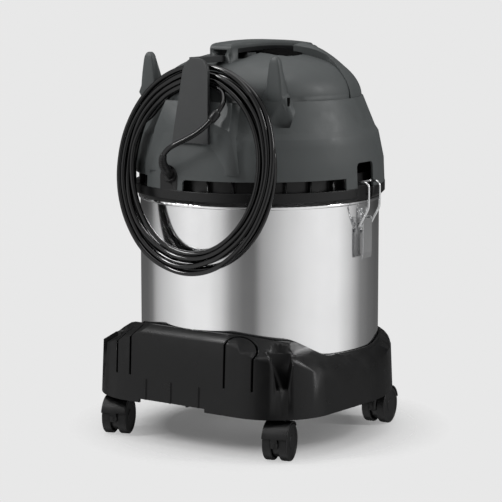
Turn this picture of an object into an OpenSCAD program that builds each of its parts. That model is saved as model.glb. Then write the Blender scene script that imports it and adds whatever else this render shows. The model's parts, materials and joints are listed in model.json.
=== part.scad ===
// Wet and dry workshop vacuum: steel tank on a moulded chassis with four swivel
// casters, and a lift-off motor head held by two wire-bail latches.
// Frame: tank axis on Z, floor at z = 0, rear (cable hook side) towards +Y.

/* [Casters] */
// Wheel diameter
wheel_d = 50; // [44:1:56]
// Width of one of the twin wheels
wheel_w = 12; // [10:0.5:14]
// Space between the twin wheels
wheel_gap = 10; // [8:0.5:12]
// Distance from stem axis to axle
caster_trail = 12.5; // [11:0.5:13.5]
// Stem diameter
stem_d = 10; // [8:0.5:11]
// Axle diameter
axle_d = 6; // [5:0.5:7]
// Half the spacing of the stems across the chassis
caster_x = 134; // [126:1:138]
// Stem distance behind the tank axis
caster_rear = 143; // [135:1:146]
// Stem distance in front of the tank axis
caster_front = 94; // [86:1:100]

/* [Chassis] */
// Radius of the front of the base, at its lower edge
base_r = 186; // [183:1:192]
// Half width of the base at the rear corners
base_half_w = 180; // [178:1:184]
// Reach of the rear wall behind the tank axis
base_rear = 186; // [184:1:192]
// Radius of the rear corners
corner_r = 88; // [80:1:92]
// Wall thickness of the moulding
wall = 3; // [2.5:0.1:3.5]
// Wall draft angle
draft = 2.5; // [1.5:0.5:3.5]
// Gap between caster hood and chassis
base_gap = 3; // [2.5:0.5:5]
// Height of the rim in front
rim_front = 77; // [74:1:84]
// Height of the rim beside the tank
rim_side = 71; // [66:1:75]
// Height of the rim behind the tank
rim_rear = 105; // [98:1:108]
// Height of the crease on the rear wall
rear_crease = 91; // [86:1:94]
// Thickness of the floor under the tank
floor_t = 4; // [3:0.5:5]
// Width of the slots beside the clip tongues
slot_w = 3.2; // [2.4:0.2:3.8]

/* [Tank] */
// Outside radius of the steel tank
tank_r = 165; // [162:1:166]
// Sheet thickness of the tank
tank_t = 1; // [0.8:0.1:1.4]
// Height of the tank
tank_h = 261; // [250:1:300]
// Diameter of the rolled bead below the rim
bead_d = 5; // [4:0.5:6]

/* [Hose inlet] */
// Bore that takes the hose cuff
inlet_bore = 50; // [44:1:56]
// Wall of the inlet tube
inlet_wall = 3; // [2.5:0.5:4]
// Height of the inlet axis above the tank foot
inlet_h = 178; // [160:1:185]
// How far the inlet stands out from the tank
inlet_reach = 22; // [16:1:24]
// Diameter of the inlet flange
inlet_flange = 76; // [72:1:84]

/* [Latches] */
// Width of the lever
lever_w = 22; // [20:0.5:24]
// Length of the lever below its pivot
lever_len = 52; // [44:1:56]
// Lever sheet thickness
lever_t = 1.4; // [1:0.1:1.8]
// Diameter of the pivot pin
pin_d = 3; // [2.6:0.1:3.2]
// Wire diameter of the bail
wire_d = 3; // [2.4:0.1:3.2]
// Bail pivot to hook bar
bail_len = 60; // [56:0.5:64]
// Pivot height below the tank's upper edge
pivot_drop = 28; // [26:0.5:32]

/* [Head] */
// Outside radius of the black base ring
ring_r = 173; // [172:0.5:176]
// Height of the black base ring
ring_h = 17; // [15:0.5:20]
// Wall of the grey hood
hood_wall = 3; // [2.5:0.1:3.5]
// Height of the hood's lower skirt
skirt_h = 117; // [110:1:124]
// Radius of the skirt's upper edge
skirt_top_r = 142; // [140:0.5:146]
// Radius of the upper dome
dome_r = 138; // [136:0.5:139.5]
// Height of the upper dome
dome_h = 62; // [58:1:66]
// Height of the vent openings
vent_h = 15; // [10:1:18]
// Width of the notch above each latch
notch_w = 40; // [36:1:44]
// Height of the notch above each latch
notch_h = 34; // [30:1:38]

/* [Handle and cable hook] */
// Width of the handle
handle_w = 34; // [30:1:38]
// Thickness of the handle's upper strap
strap_t = 8; // [6:0.5:9]
// Thickness of the dark grip below it
grip_t = 6; // [4:0.5:7]
// Rear face of the handle post, behind the axis
post_y = 93; // [88:1:98]
// Height of the handle above the dome
handle_rise = 14; // [12:0.5:18]
// Depth of the hand recess below the strap
hand_gap = 33; // [30:1:38]
// Sideways place of the cable hook
hook_x = -5; // [-8:1:5]
// Width of the hook's blade at its top
hook_top_w = 41; // [36:1:44]
// Width of the hook's blade at its foot
hook_foot_w = 58; // [50:1:62]
// Length of the hook's blade below its round top
hook_len = 92; // [84:1:94]
// Thickness of the hook's blade
hook_t = 5; // [4:0.5:5.5]
// Half the spacing of the two horns
horn_x = 101; // [96:1:104]
// Height of the horns above the skirt
horn_rise = 57; // [48:1:62]

/* [Motor and filter] */
// Radius of the fan housing
fan_case_r = 72; // [66:1:78]
// Height of the fan housing
fan_case_h = 40; // [36:1:46]
// Radius of the motor can
motor_r = 50; // [44:1:54]
// Height of the motor can
motor_h = 74; // [66:1:80]
// Shaft diameter
shaft_d = 8; // [7:0.5:10]
// Outside radius of the cartridge filter
filter_r = 78; // [72:1:84]
// Height of the cartridge filter
filter_h = 104; // [90:1:112]
// Number of filter pleats
pleats = 48; // [36:2:56]
// Diameter of the float ball
float_d = 44; // [38:1:50]
// Free lift of the float ball
float_lift = 20; // [14:1:24]

/* [Mains cord] */
// Diameter of the cord
cord_d = 7; // [7:0.1:7.2]

/* [Hidden] */
$fn = 96;

// clearances
run_gap = 0.08;     // radial, round a turning shaft
fit_gap = 0.05;     // radial, round a fixed pin or stem
face_gap = 0.3;     // between faces of parts that move apart
eps = 0.01;
far = 500;          // longer than any part, for cutting tools

// heights, from the floor up
wheel_r = wheel_d / 2;
hood_lid = 3;                                 // caster hood above the tread
base_z = wheel_d + hood_lid + base_gap;       // lower edge of the chassis
floor_z = base_z + 14;                        // tank foot, top of the chassis floor
tank_top = floor_z + tank_h;
ring_z = tank_top - 2;                        // lower edge of the black ring
ring_top = ring_z + ring_h;
skirt_top = ring_top + skirt_h;
dome_top = skirt_top + dome_h;
handle_top = dome_top + handle_rise;

// a smooth step from a to b as t runs from t0 to t1
function ease(t) = t <= 0 ? 0 : t >= 1 ? 1 : t * t * (3 - 2 * t);
function step_between(t, t0, t1, a, b) = a + (b - a) * ease((t - t0) / (t1 - t0));

// places things at an angle measured from the rear (+Y) towards +X
module at_angle(angle) { rotate([0, 0, -angle]) children(); }

// ---------------------------------------------------------------- casters

// [name, x, y, heading]: the heading turns the trail away from the rear
CASTERS = [
    ["rl", caster_x, caster_rear, 20],
    ["rr", -caster_x, caster_rear, 16],
    ["fl", caster_x, -caster_front, 172],
    ["fr", -caster_x, -caster_front, 188]
];
core_r = wheel_r - 5;                         // hood core inside the hollow wheels
rim_t = 4;                                    // radial thickness of the tread
face_t = 3;                                   // thickness of the wheel's outer face
hub_r = axle_d / 2 + 3;
hub_t = 1.6;                                  // how far the hub stands inwards
socket_top = wheel_d + hood_lid;
neck_d = stem_d - 2;                          // the stem's part inside the hood, clear of the treads
stem_foot = wheel_r + 5;
stem_top = floor_z - floor_t;                 // the stems end under the tank

module caster_place(i) {
    translate([CASTERS[i][1], CASTERS[i][2], 0])
        rotate([0, 0, CASTERS[i][3]])
            translate([0, caster_trail, 0]) children();
}

module along_x(length) {
    rotate([0, 90, 0]) translate([0, 0, -length / 2]) children();
}

// moulded hood: a core between the wheels, a guard over the tread, the stem socket
module caster_hood(i) {
    full_w = wheel_gap + 2 * wheel_w;
    core_w = full_w - 2 * (face_t + hub_t) - 0.4;
    color("#2b2b2c") caster_place(i) difference() {
        union() {
            translate([0, 0, wheel_r]) intersection() {
                along_x(full_w) difference() {
                    cylinder(r = wheel_r + hood_lid, h = full_w);
                    translate([0, 0, -1]) cylinder(r = wheel_r + 0.5, h = full_w + 2);
                }
                translate([-full_w, -wheel_r * 0.72, 8]) cube([2 * full_w, wheel_d, wheel_d]);
            }
            translate([0, 0, wheel_r]) along_x(core_w) cylinder(r = core_r, h = core_w);
            translate([0, 0, wheel_r]) intersection() {
                along_x(wheel_gap - 0.8)
                    cylinder(r = wheel_r + hood_lid, h = wheel_gap - 0.8);
                translate([-full_w, -wheel_d, -4]) cube([2 * full_w, 2 * wheel_d, wheel_d]);
            }
            translate([0, -caster_trail, wheel_r]) cylinder(d = stem_d + 4, h = socket_top - wheel_r);
        }
        translate([0, -caster_trail, stem_foot - 0.5]) cylinder(r = neck_d / 2 + run_gap, h = wheel_d);
        translate([0, 0, wheel_r]) along_x(far) cylinder(r = axle_d / 2 + fit_gap, h = far);
        // room for the socket's neighbours: the tread runs past it on both sides
        for (side = [-1, 1]) translate([side * (wheel_gap + wheel_w + 0.4) / 2, 0, wheel_r])
            along_x(wheel_w + 0.4) difference() {
                cylinder(r = wheel_r + 0.5, h = wheel_w + 0.4);
                translate([0, 0, -1]) cylinder(r = core_r, h = wheel_w + 3);
            }
    }
}

module caster_axle(i) {
    length = wheel_gap + 2 * wheel_w - 2 * face_t + 2;
    color("#c8c9ca") caster_place(i)
        translate([0, 0, wheel_r]) along_x(length) cylinder(d = axle_d, h = length);
}

// hollow wheel: tread, outer face and hub, open towards the hood
module wheel(i, side) {
    color("#232324") caster_place(i)
        translate([side * wheel_gap / 2, 0, wheel_r]) rotate([0, side * 90, 0])
            rotate_extrude() difference() {
                union() {
                    translate([core_r + 1, 0]) square([wheel_r - core_r - 2.5, wheel_w - 1.5]);
                    translate([wheel_r - 3, 1.5]) square([3, wheel_w - 3]);
                    translate([wheel_r - 1.5, 1.5]) circle(r = 1.5, $fn = 32);
                    translate([wheel_r - 1.5, wheel_w - 1.5]) circle(r = 1.5, $fn = 32);
                    translate([0, wheel_w - face_t]) square([wheel_r - 1.5, face_t]);
                    translate([0, wheel_w - face_t - hub_t]) square([hub_r, hub_t + 0.5]);
                }
                translate([-far, -far]) square([far, 2 * far]);
                // bearing hole, closed by the outer face
                translate([-1, -1]) square([1 + axle_d / 2 + run_gap, wheel_w - face_t + 2.5]);
                // shallow dish in the outer face
                translate([hub_r + 3, wheel_w - 0.8]) square([wheel_r - hub_r - 8, 1]);
            }
}

// steel stems pressed into the chassis: a shoulder above the hood and a neck in its socket
module caster_stems() {
    color("#b9babb") for (c = CASTERS) translate([c[1], c[2], 0]) {
        translate([0, 0, stem_foot]) cylinder(d = neck_d, h = stem_top - stem_foot);
        translate([0, 0, socket_top + 0.5]) cylinder(d = stem_d, h = stem_top - socket_top - 0.5);
    }
}

// ---------------------------------------------------------------- chassis

socket_r = tank_r + 0.8;                      // tank socket
collar_r = socket_r + wall;
corner_x = base_half_w - corner_r;
corner_y = base_rear - corner_r;
loft_top = base_z + rim_rear + 8;

// height of the top surface along the side view, y runs front to rear
function rim_z(y) = base_z + (
    y > tank_r + 1 ? rim_rear - (rim_rear - rear_crease) * (y - tank_r - 1) / (base_rear - tank_r - 1)
    : y > 118 ? step_between(y, 118, tank_r + 1, rim_rear - 11, rim_rear)
    : y > 0 ? step_between(y, 66, 118, rim_side, rim_rear - 11)
    : step_between(-y, 22, 72, rim_side, rim_front));

// plan outline as a drafted loft, set in by a wall thickness
module base_loft(inset) {
    for_top = (loft_top - base_z) * tan(draft);
    hull() for (level = [[base_z - (inset > 0 ? 1 : 0), 0], [loft_top, for_top]])
        translate([0, 0, level[0]]) {
            cylinder(r = base_r - inset - level[1], h = eps, $fn = 96);
            for (side = [-1, 1]) translate([side * corner_x, corner_y, 0])
                cylinder(r = corner_r - inset - level[1], h = eps, $fn = 64);
        }
}

// everything below the rim curve seen from the side
module below_rim(drop) {
    step = 4;
    rotate([90, 0, 90]) translate([0, 0, -far / 2]) linear_extrude(far) polygon(concat(
        [[base_rear + 20, base_z - 5], [-base_r - 20, base_z - 5]],
        [for (y = [-base_r - 20 : step : base_rear + 8]) [y, rim_z(y) - drop]],
        [[base_rear + 20, rim_z(base_rear + 8) - drop]]));
}

// slopes that take the rim down to the rear corners and to the sides
corner_slope = 30;                            // degrees
side_slope = 38.7;
module corner_cuts(drop) {
    for (side = [-1, 1]) {
        rotate([0, 0, side * -45]) translate([0, base_rear + 26, base_z + 76 - drop])
            rotate([-corner_slope, 0, 0]) translate([-far / 2, -far / 2, 0]) cube([far, far, far]);
        translate([side * base_half_w, -far / 2 + corner_y + 60, base_z + 54 - drop])
            rotate([0, side * side_slope, 0]) translate([-far / 2, -far / 2, 0]) cube([far, far, far]);
    }
}

// rounded front edge
module front_round(inset) {
    edge = 17;
    top = base_z + rim_front - inset;
    r = base_r - rim_front * tan(draft) - inset;
    rotate_extrude($fn = 128) polygon(concat(
        [[0, base_z - 5], [r + 12, base_z - 5], [r + 12, top - edge], [r, top - edge]],
        [for (a = [0 : 15 : 90]) [r - edge + edge * cos(a), top - edge + edge * sin(a)]],
        [[0, top]]));
    translate([-far / 2, -24, base_z - 5]) cube([far, far, far]);
}

module base_form(inset) {
    difference() {
        intersection() {
            base_loft(inset);
            below_rim(inset);
            front_round(inset);
        }
        corner_cuts(inset * 1.25);
    }
}

// accessory pockets in the rear corners: a round throat above a tapered slot
pocket_angle = 42;
pocket_d = base_rear + 17;                    // distance of the throat from the tank axis
pocket_r = 18.5;
pocket_foot = base_z + 38;
throat_foot = base_z + 82;
module pocket(grow) {
    for (side = [-1, 1]) at_angle(side * pocket_angle) {
        translate([0, pocket_d, throat_foot - grow]) cylinder(r = pocket_r + grow, h = far);
        translate([0, pocket_d - 9 - grow, 0]) rotate([90, 0, 180])
            linear_extrude(grow > 0 ? 30 : 80) polygon([
                [-8 - grow, pocket_foot - grow], [8 + grow, pocket_foot - grow],
                [15 + grow, throat_foot + 8], [-15 - grow, throat_foot + 8]]);
    }
}

// clip tongues in the rear wall: two slots joined by an arch on the deck
TONGUES = [[-90, 21.5], [98.5, 12]];          // [x, half spacing of the slots]
module tongue_slots() {
    for (t = TONGUES) {
        inner = sqrt(pow(collar_r + 4, 2) - pow(abs(t[0]) - t[1] * 0.6, 2)) + t[1];
        translate([t[0], inner, base_z + 36]) linear_extrude(far) difference() {
            union() {
                circle(r = t[1] + slot_w / 2);
                translate([-t[1] - slot_w / 2, 0]) square([2 * t[1] + slot_w, 80]);
            }
            circle(r = t[1] - slot_w / 2);
            translate([-t[1] + slot_w / 2, 0]) square([2 * t[1] - slot_w, 81]);
        }
    }
}

// the raised part of the lower edge, with three small ribs above it
rear_stem_angle = atan2(caster_x, caster_rear);
front_stem_angle = atan2(caster_x, -caster_front);
notch_x0 = -38;
notch_x1 = 70;
RIB_X = [-28, 18, 59.5];
SCREWS = [for (a = [45 : 90 : 315]) [a, 96]]; // [angle, radius] of the tank screws
module chassis() {
    color("#2a2a2b") difference() {
        union() {
            difference() {
                base_form(0);
                base_form(wall);
            }
            intersection() {
                union() {
                    base_loft(0.5);
                    translate([0, 0, base_z]) cylinder(r = collar_r, h = far);
                }
                union() {
                    // tank socket and its floor
                    intersection() {
                        translate([0, 0, base_z]) cylinder(r = collar_r, h = far);
                        below_rim(0);
                        front_round(0);
                    }
                    // stem bosses and stiffening ribs
                    intersection() {
                        base_form(0.5);
                        union() {
                            for (c = CASTERS) translate([c[1], c[2], base_z])
                                cylinder(d = stem_d + 14, h = 30);
                            for (a = [-62, -28, 0, 28, 62, 90, 152, 180, 208, 270,
                    rear_stem_angle, -rear_stem_angle, front_stem_angle, -front_stem_angle]) at_angle(a)
                                translate([-wall / 2, tank_r, base_z]) cube([wall, 80, 30]);
                            pocket(wall);
                        }
                    }
                }
            }
            for (x = RIB_X) translate([x, base_rear - 0.8, base_z + 4])
                rotate([draft, 0, 0]) cylinder(d = 4, h = 29, $fn = 24);
        }
        translate([0, 0, floor_z]) cylinder(r = socket_r, h = far);
        translate([0, 0, base_z - 1]) cylinder(r = socket_r - wall, h = floor_z - floor_t - base_z + 1);
        translate([0, 0, base_z - 1]) cylinder(r = 60, h = far);
        pocket(0);
        tongue_slots();
        translate([notch_x0, base_rear - 12, base_z - 5]) cube([notch_x1 - notch_x0, 24, 10]);
        for (c = CASTERS) translate([c[1], c[2], base_z - 1])
            cylinder(r = stem_d / 2 + fit_gap, h = stem_top - base_z + 1 + fit_gap);
        for (s = SCREWS) at_angle(s[0]) translate([0, s[1], base_z])
            cylinder(r = 2.6, h = 40);
    }
}

// screws that hold the tank's foot to the chassis floor
module chassis_screws() {
    color("#b9babb") for (s = SCREWS) at_angle(s[0]) translate([0, s[1], floor_z - floor_t]) {
        translate([0, 0, -3]) cylinder(d = 9, h = 3);
        cylinder(d = 5, h = floor_t + tank_t);
        translate([0, 0, floor_t + tank_t]) cylinder(d = 8, h = 4, $fn = 6);
    }
}

// ---------------------------------------------------------------- tank and inlet

bead_z = ring_z - bead_d / 2 - 0.5;
inlet_z = floor_z + inlet_h;
inlet_od = inlet_bore + 2 * inlet_wall;
module tank() {
    color("#c9cbcc") difference() {
        union() {
            translate([0, 0, floor_z]) cylinder(r = tank_r, h = tank_h, $fn = 180);
            translate([0, 0, bead_z]) rotate_extrude($fn = 180)
                translate([tank_r, 0]) circle(d = bead_d, $fn = 32);
        }
        translate([0, 0, floor_z + tank_t]) cylinder(r = tank_r - tank_t, h = far, $fn = 180);
        translate([0, 0, inlet_z]) rotate([90, 0, 0])
            cylinder(r = inlet_od / 2 + 0.4, h = far);
        for (s = SCREWS) at_angle(s[0]) translate([0, s[1], base_z]) cylinder(r = 2.55, h = 40);
        latch_rivet_holes();
    }
}

// ring that lies on the inside or outside of the tank wall round the inlet
module inlet_washer(bore, outer, r0, r1) {
    difference() {
        intersection() {
            translate([0, 0, inlet_z]) rotate([90, 0, 0]) cylinder(d = outer, h = far);
            translate([0, 0, floor_z]) cylinder(r = r1, h = tank_h, $fn = 180);
        }
        translate([0, 0, floor_z - 1]) cylinder(r = r0, h = tank_h + 2, $fn = 180);
        translate([0, 0, inlet_z]) rotate([90, 0, 0]) cylinder(d = bore, h = far);
    }
}

gasket_t = 1.5;
flange_t = 4;
nut_t = 6;
module inlet_gasket() {
    color("#1c1c1c") inlet_washer(inlet_od + 0.4, inlet_flange, tank_r, tank_r + gasket_t);
}
module inlet_port() {
    color("#262627") difference() {
        union() {
            inlet_washer(inlet_od - 1, inlet_flange, tank_r + gasket_t,
                tank_r + gasket_t + flange_t);
            translate([0, -tank_r + 22, inlet_z]) rotate([90, 0, 0])
                cylinder(d = inlet_od, h = inlet_reach + 22);
            translate([0, -tank_r - inlet_reach + 5, inlet_z]) rotate([90, 0, 0])
                cylinder(d = inlet_od + 5, h = 5);
        }
        translate([0, 1, inlet_z]) rotate([90, 0, 0]) cylinder(d = inlet_bore, h = far);
        // bayonet slots for the hose cuff
        for (side = [-1, 1]) translate([side * inlet_bore / 2, -tank_r - inlet_reach, inlet_z])
            cube([7, 12, 6], center = true);
    }
}
module inlet_locknut() {
    color("#262627") difference() {
        translate([0, -tank_r + tank_t + 5.2, inlet_z]) rotate([-90, 0, 0])
            cylinder(d = inlet_flange - 4, h = nut_t, $fn = 12);
        translate([0, far / 2, inlet_z]) rotate([90, 0, 0])
            cylinder(r = inlet_od / 2 + fit_gap, h = far);
    }
}
// elbow that turns the incoming dirt downwards
module inlet_deflector() {
    d0 = inlet_od + 2;
    y0 = -tank_r + 22 + face_gap;
    color("#262627") difference() {
        union() {
            translate([0, y0, inlet_z]) rotate([-90, 0, 0]) cylinder(d = d0, h = 20);
            translate([0, y0 + 20, inlet_z]) sphere(d = d0);
            translate([0, y0 + 20, inlet_z - 34]) cylinder(d = d0, h = 34);
            translate([0, y0, inlet_z]) rotate([90, 0, 0])
                cylinder(d = d0, h = 4);
        }
        translate([0, y0 - 10, inlet_z]) rotate([-90, 0, 0]) cylinder(d = inlet_bore, h = 30);
        translate([0, y0 + 20, inlet_z]) sphere(d = inlet_bore);
        translate([0, y0 + 20, inlet_z - 35]) cylinder(d = inlet_bore, h = 35);
        translate([0, y0 - 10, inlet_z]) rotate([-90, 0, 0])
            cylinder(r = inlet_od / 2 + fit_gap, h = 10 - face_gap);
    }
}

// ---------------------------------------------------------------- latches

pivot_r = tank_r + 6.5;                       // lever pivot from the tank axis
pivot_z = tank_top - pivot_drop;
bail_r = pivot_r - 1.5;                       // bail pivot, on the closed lever
bail_z = pivot_z - 9;
plate_t = 1.2;
ear_in = lever_w / 2 + 0.2;                   // inner face of the base's ears
leg_y = ear_in + 1 + 0.2 + wire_d / 2;        // centre of the bail's legs
hook_r = bail_r;                              // hook bar from the tank axis
hook_z = bail_z + bail_len;
RIVET_Z = [pivot_z - 15, pivot_z + 11];

module on_side(side) { rotate([0, 0, side * 90]) children(); } // local -Y faces out

module latch_rivet_holes() {
    for (side = [-1, 1], z = RIVET_Z) on_side(side) translate([0, 0, z]) rotate([90, 0, 0])
        cylinder(r = 2 + fit_gap, h = far);
}

// base plate bent round the tank, with two ears for the lever pin
module latch_base(side) {
    color("#c4c6c7") on_side(side) difference() {
        union() {
            intersection() {
                difference() {
                    cylinder(r = tank_r + plate_t, h = far, $fn = 180);
                    translate([0, 0, -1]) cylinder(r = tank_r + fit_gap, h = far + 2, $fn = 180);
                }
                translate([-ear_in - 1, -far, pivot_z - 20]) cube([2 * ear_in + 2, far, 37]);
            }
            for (s = [-1, 1]) translate([s > 0 ? ear_in : -ear_in - 1, -pivot_r, pivot_z])
                rotate([0, 90, 0]) linear_extrude(1) difference() {
                    union() {
                        circle(r = 4);
                        translate([-4, 0]) square([8, pivot_r - tank_r + 0.5]);
                    }
                    circle(r = pin_d / 2 + fit_gap);
                }
        }
        for (z = RIVET_Z) translate([0, 0, z]) rotate([90, 0, 0])
            cylinder(r = 2 + fit_gap, h = far);
        translate([0, 0, -1]) cylinder(r = tank_r + fit_gap, h = far + 2, $fn = 180);
    }
}

module latch_rivets() {
    color("#d4d5d6") for (side = [-1, 1], z = RIVET_Z) on_side(side) {
        translate([0, -tank_r + tank_t + 1.6, z]) rotate([90, 0, 0]) cylinder(d = 4, h = tank_t + 3.2);
        translate([0, -tank_r - plate_t, z]) rotate([90, 0, 0]) cylinder(d = 7, h = 1.2);
        translate([0, -tank_r + tank_t + 1.6, z]) rotate([90, 0, 0]) cylinder(d = 7, h = 1.2);
    }
}

module latch_pin(side) {
    length = 2 * (ear_in + 1);
    color("#d4d5d6") on_side(side) translate([0, -pivot_r, pivot_z])
        along_x(length) cylinder(d = pin_d, h = length);
}

// pressed lever: a flat tab with a turned-out tip and two pivot flanges
module latch_lever(side) {
    front = 2.2;                              // tab's inner face, outside the pivot
    flange_t = 1.2;
    tip = 8;                                  // finger tip, bent in by 8 degrees
    color("#d2d4d5") on_side(side) difference() {
        union() {
            translate([-lever_w / 2, -pivot_r - front, pivot_z - lever_len + tip])
                rotate([90, 0, 90]) linear_extrude(lever_w) polygon([
                    [0, lever_len - tip + 1.5], [0, 0], tip * [sin(8), -cos(8)],
                    tip * [sin(8), -cos(8)] - lever_t * [cos(8), sin(8)],
                    [-lever_t, -lever_t * tan(4)], [-lever_t, lever_len - tip + 1.5]]);
            for (s = [-1, 1]) translate([s > 0 ? lever_w / 2 - flange_t : -lever_w / 2,
                    -pivot_r, pivot_z]) rotate([0, 90, 0]) linear_extrude(flange_t) union() {
                circle(r = 3.6);
                translate([0, -front - lever_t / 2]) square([13, front + 3]);
                translate([pivot_z - bail_z, pivot_r - bail_r]) circle(r = wire_d / 2 + 1.9);
                translate([-1.5, -front - lever_t / 2]) square([4, front + 1]);
            }
        }
        translate([0, -pivot_r, pivot_z]) along_x(far) cylinder(r = pin_d / 2 + run_gap, h = far);
        translate([0, -bail_r, bail_z]) along_x(far) cylinder(r = wire_d / 2 + run_gap, h = far);
    }
}

// a bent wire: each step is [straight length, bend radius, bend angle, turn of the bend plane]
module wire_path(steps, i = 0) {
    if (i < len(steps)) {
        run = steps[i];
        cylinder(d = wire_d, h = run[0]);
        translate([0, 0, run[0]]) rotate([0, 0, run[3]]) {
            if (run[2] > 0)
                translate([run[1], 0, 0]) rotate([90, 0, 180]) rotate_extrude(angle = run[2])
                    translate([run[1], 0]) circle(d = wire_d);
            translate([run[1] * (1 - cos(run[2])), 0, run[1] * sin(run[2])])
                rotate([0, run[2], 0]) wire_path(steps, i + 1);
        }
    }
}

flare = 30;                                   // the legs leave the lever at this angle
flare_r = 20;
flare_len = 24.6;                             // straight part of the flare
turn_r = 7.5;                                 // bend over the ring's edge
corner = leg_y - lever_w / 2 - 0.2;           // bends beside the lever and into the hook bar
tail_len = leg_y - corner - (lever_w / 2 - 3.5);
bow = flare_len * sin(flare) + flare_r * (1 - cos(flare)); // how far the legs stand out
rise = bail_len - turn_r - flare_len * cos(flare) - flare_r * sin(flare);

module latch_bail(side) {
    color("#d9dbdc") on_side(side) {
        for (s = [0, 1]) mirror([s, 0, 0])
            translate([leg_y - corner - tail_len, -bail_r, bail_z]) rotate([180 + flare, 0, 0])
                rotate([0, 90, 0]) wire_path([
                    [tail_len, corner, 90, 0],
                    [flare_len - corner, flare_r, flare, -90],
                    [rise, turn_r, 90, 0],
                    [bow - turn_r - corner, corner, 90, 90],
                    [leg_y - corner + eps, 0, 0, 0]]);
    }
}

// ---------------------------------------------------------------- head base and seal

deck_z = ring_z - 11;                         // underside of the motor deck
deck_t = 4;
well_r = tank_r - 6;                          // centring collar inside the tank
vent_wall_r = ring_r - 17;                    // wall behind the vents
vent_top = ring_top + vent_h;
eye_r = 32;                                   // suction eye above the filter
notch_floor_r = tank_r + 3;                   // ring cut back for the bail
catch_r = hook_r - wire_d / 2 - 1;            // edge of the catch lip
catch_top = hook_z - wire_d / 2 - 0.8;
seal_t = 3;
BOSS_ANGLES = [-150, -104, 21.5, 104, 150];
boss_r = ring_r - 9;
// vents from and to, in degrees from the rear towards +X
VENTS = [[-76, 2], [27, 76]];
gland_angle = 9;
tower_angle = 10.3;
tower_r = 16;                                 // half width of the gland tower
tower_z = ring_top + 16.5;                    // centre of its round top

module head_base() {
    color("#252526") difference() {
        union() {
            rotate_extrude($fn = 180) union() {
                // outer band with a chamfered lower edge
                polygon([[tank_r + 1, ring_z], [ring_r - 5, ring_z], [ring_r, ring_z + 5],
                    [ring_r, ring_top], [tank_r + 1, ring_top]]);
                // flange over the tank's rim
                translate([well_r - 3, ring_z + 5]) square([tank_r + 2 - well_r + 3, 4]);
                // centring collar and deck
                translate([well_r - 3, deck_z]) square([3, ring_z + 9 - deck_z]);
                translate([eye_r, deck_z]) square([well_r - eye_r, deck_t]);
                // wall behind the vents
                translate([well_r - 3, ring_z + 5]) square([3, vent_top + 3 - ring_z - 5]);
            }
            for (v = VENTS, a = [v[0] + 6 : 12 : v[1] - 3]) at_angle(a)
                translate([-1.5, well_r - 1, ring_top - 1])
                    cube([3, ring_r - 5 - well_r, vent_h]);
            // gland tower
            intersection() {
                at_angle(tower_angle) translate([0, ring_r - 1, 0]) rotate([90, 0, 0])
                    linear_extrude(ring_r - 1 - well_r) union() {
                        translate([0, tower_z]) circle(r = tower_r);
                        translate([-tower_r, ring_top - 1]) square([2 * tower_r, tower_z - ring_top + 1]);
                    }
                cylinder(r = ring_r, h = far * 2, $fn = 180);
            }
            // catch blocks behind the latch notches
            for (side = [-1, 1]) on_side(side) intersection() {
                translate([-notch_w / 2 + 1, -catch_r, ring_top - 1])
                    cube([notch_w - 2, catch_r - well_r + 2, catch_top - ring_top + 1]);
                cylinder(r = catch_r, h = far * 2, $fn = 180);
            }
            // hose of ribs under the deck round the filter neck
            translate([0, 0, deck_z - 5]) difference() {
                cylinder(r = eye_r + 12, h = 6);
                translate([0, 0, -1]) cylinder(r = eye_r + 9, h = 8);
            }
        }
        // the ring is cut back where the bails pass
        for (side = [-1, 1]) on_side(side) difference() {
            translate([-leg_y - 3.6, -far, ring_z - 5]) cube([2 * leg_y + 7.2, far, ring_h + 5.2]);
            translate([0, 0, -1]) cylinder(r = notch_floor_r, h = far * 2, $fn = 180);
        }
        // seat of the cord gland
        gland_axis() {
            translate([0, 0, -30]) cylinder(r = gland_r + fit_gap, h = 60);
            cylinder(r = gland_r + gland_lip + fit_gap, h = 30);
        }
        for (a = BOSS_ANGLES) at_angle(a) translate([0, boss_r, ring_z - 1]) cylinder(r = 2.2, h = 30);
        translate([0, 0, deck_z - 20]) cylinder(r = eye_r, h = 60);
    }
}

module head_seal() {
    color("#151515") rotate_extrude($fn = 180)
        translate([tank_r - 5, tank_top + face_gap]) square([5.6, ring_z + 5 - tank_top - face_gap]);
}

// ---------------------------------------------------------------- hood

module skirt_profile(inset) {
    polygon([
        [0, ring_top], [ring_r - 0.5 - inset, ring_top],
        [ring_r - 2 - inset, ring_top + 0.28 * skirt_h],
        [ring_r - 9.5 - inset, ring_top + 0.59 * skirt_h],
        [ring_r - 14.5 - inset, ring_top + 0.655 * skirt_h],
        [skirt_top_r - inset, skirt_top - (inset > 0 ? inset + 4 : 0)],
        [0, skirt_top - (inset > 0 ? inset + 4 : 0)]]);
}

// quarter superellipse: radius r, height h, standing on z0
module dome_profile(r, h, z0) {
    n = 2.2;
    translate([0, z0]) polygon(concat([[0, 0]],
        [for (a = [0 : 5 : 90]) [r * pow(cos(a), 2 / n), h * pow(sin(a), 2 / n)]]));
}

// rectangle with round corners, from (-x, y0) to (x, y1)
module rounded_slot(x, y0, y1, r) {
    translate([-x + r, y0]) square([2 * x - 2 * r, y1 - y0]);
    translate([-x, y0 + r]) square([2 * x, y1 - y0 - 2 * r]);
    for (sx = [-1, 1], y = [y0 + r, y1 - r]) translate([sx * (x - r), y]) circle(r = r, $fn = 48);
}

// hand recess: a slot under the strap, and scoops for the fingers in its front half
post_t = 17;
trough_side = 8;                              // beside the strap
scoop_side = 27;
trough_front = -66;
trough_z = handle_top - strap_t - grip_t - hand_gap;
module trough(grow) {
    y1 = post_y - post_t + grow;
    translate([0, 0, trough_z - grow]) linear_extrude(far)
        rounded_slot(handle_w / 2 + trough_side + grow, trough_front - grow, y1, 7);
    translate([0, 0, trough_z + 8 - grow]) linear_extrude(far)
        rounded_slot(handle_w / 2 + scoop_side + grow, trough_front + 2 - grow, 8 + grow, 20);
}

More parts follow.
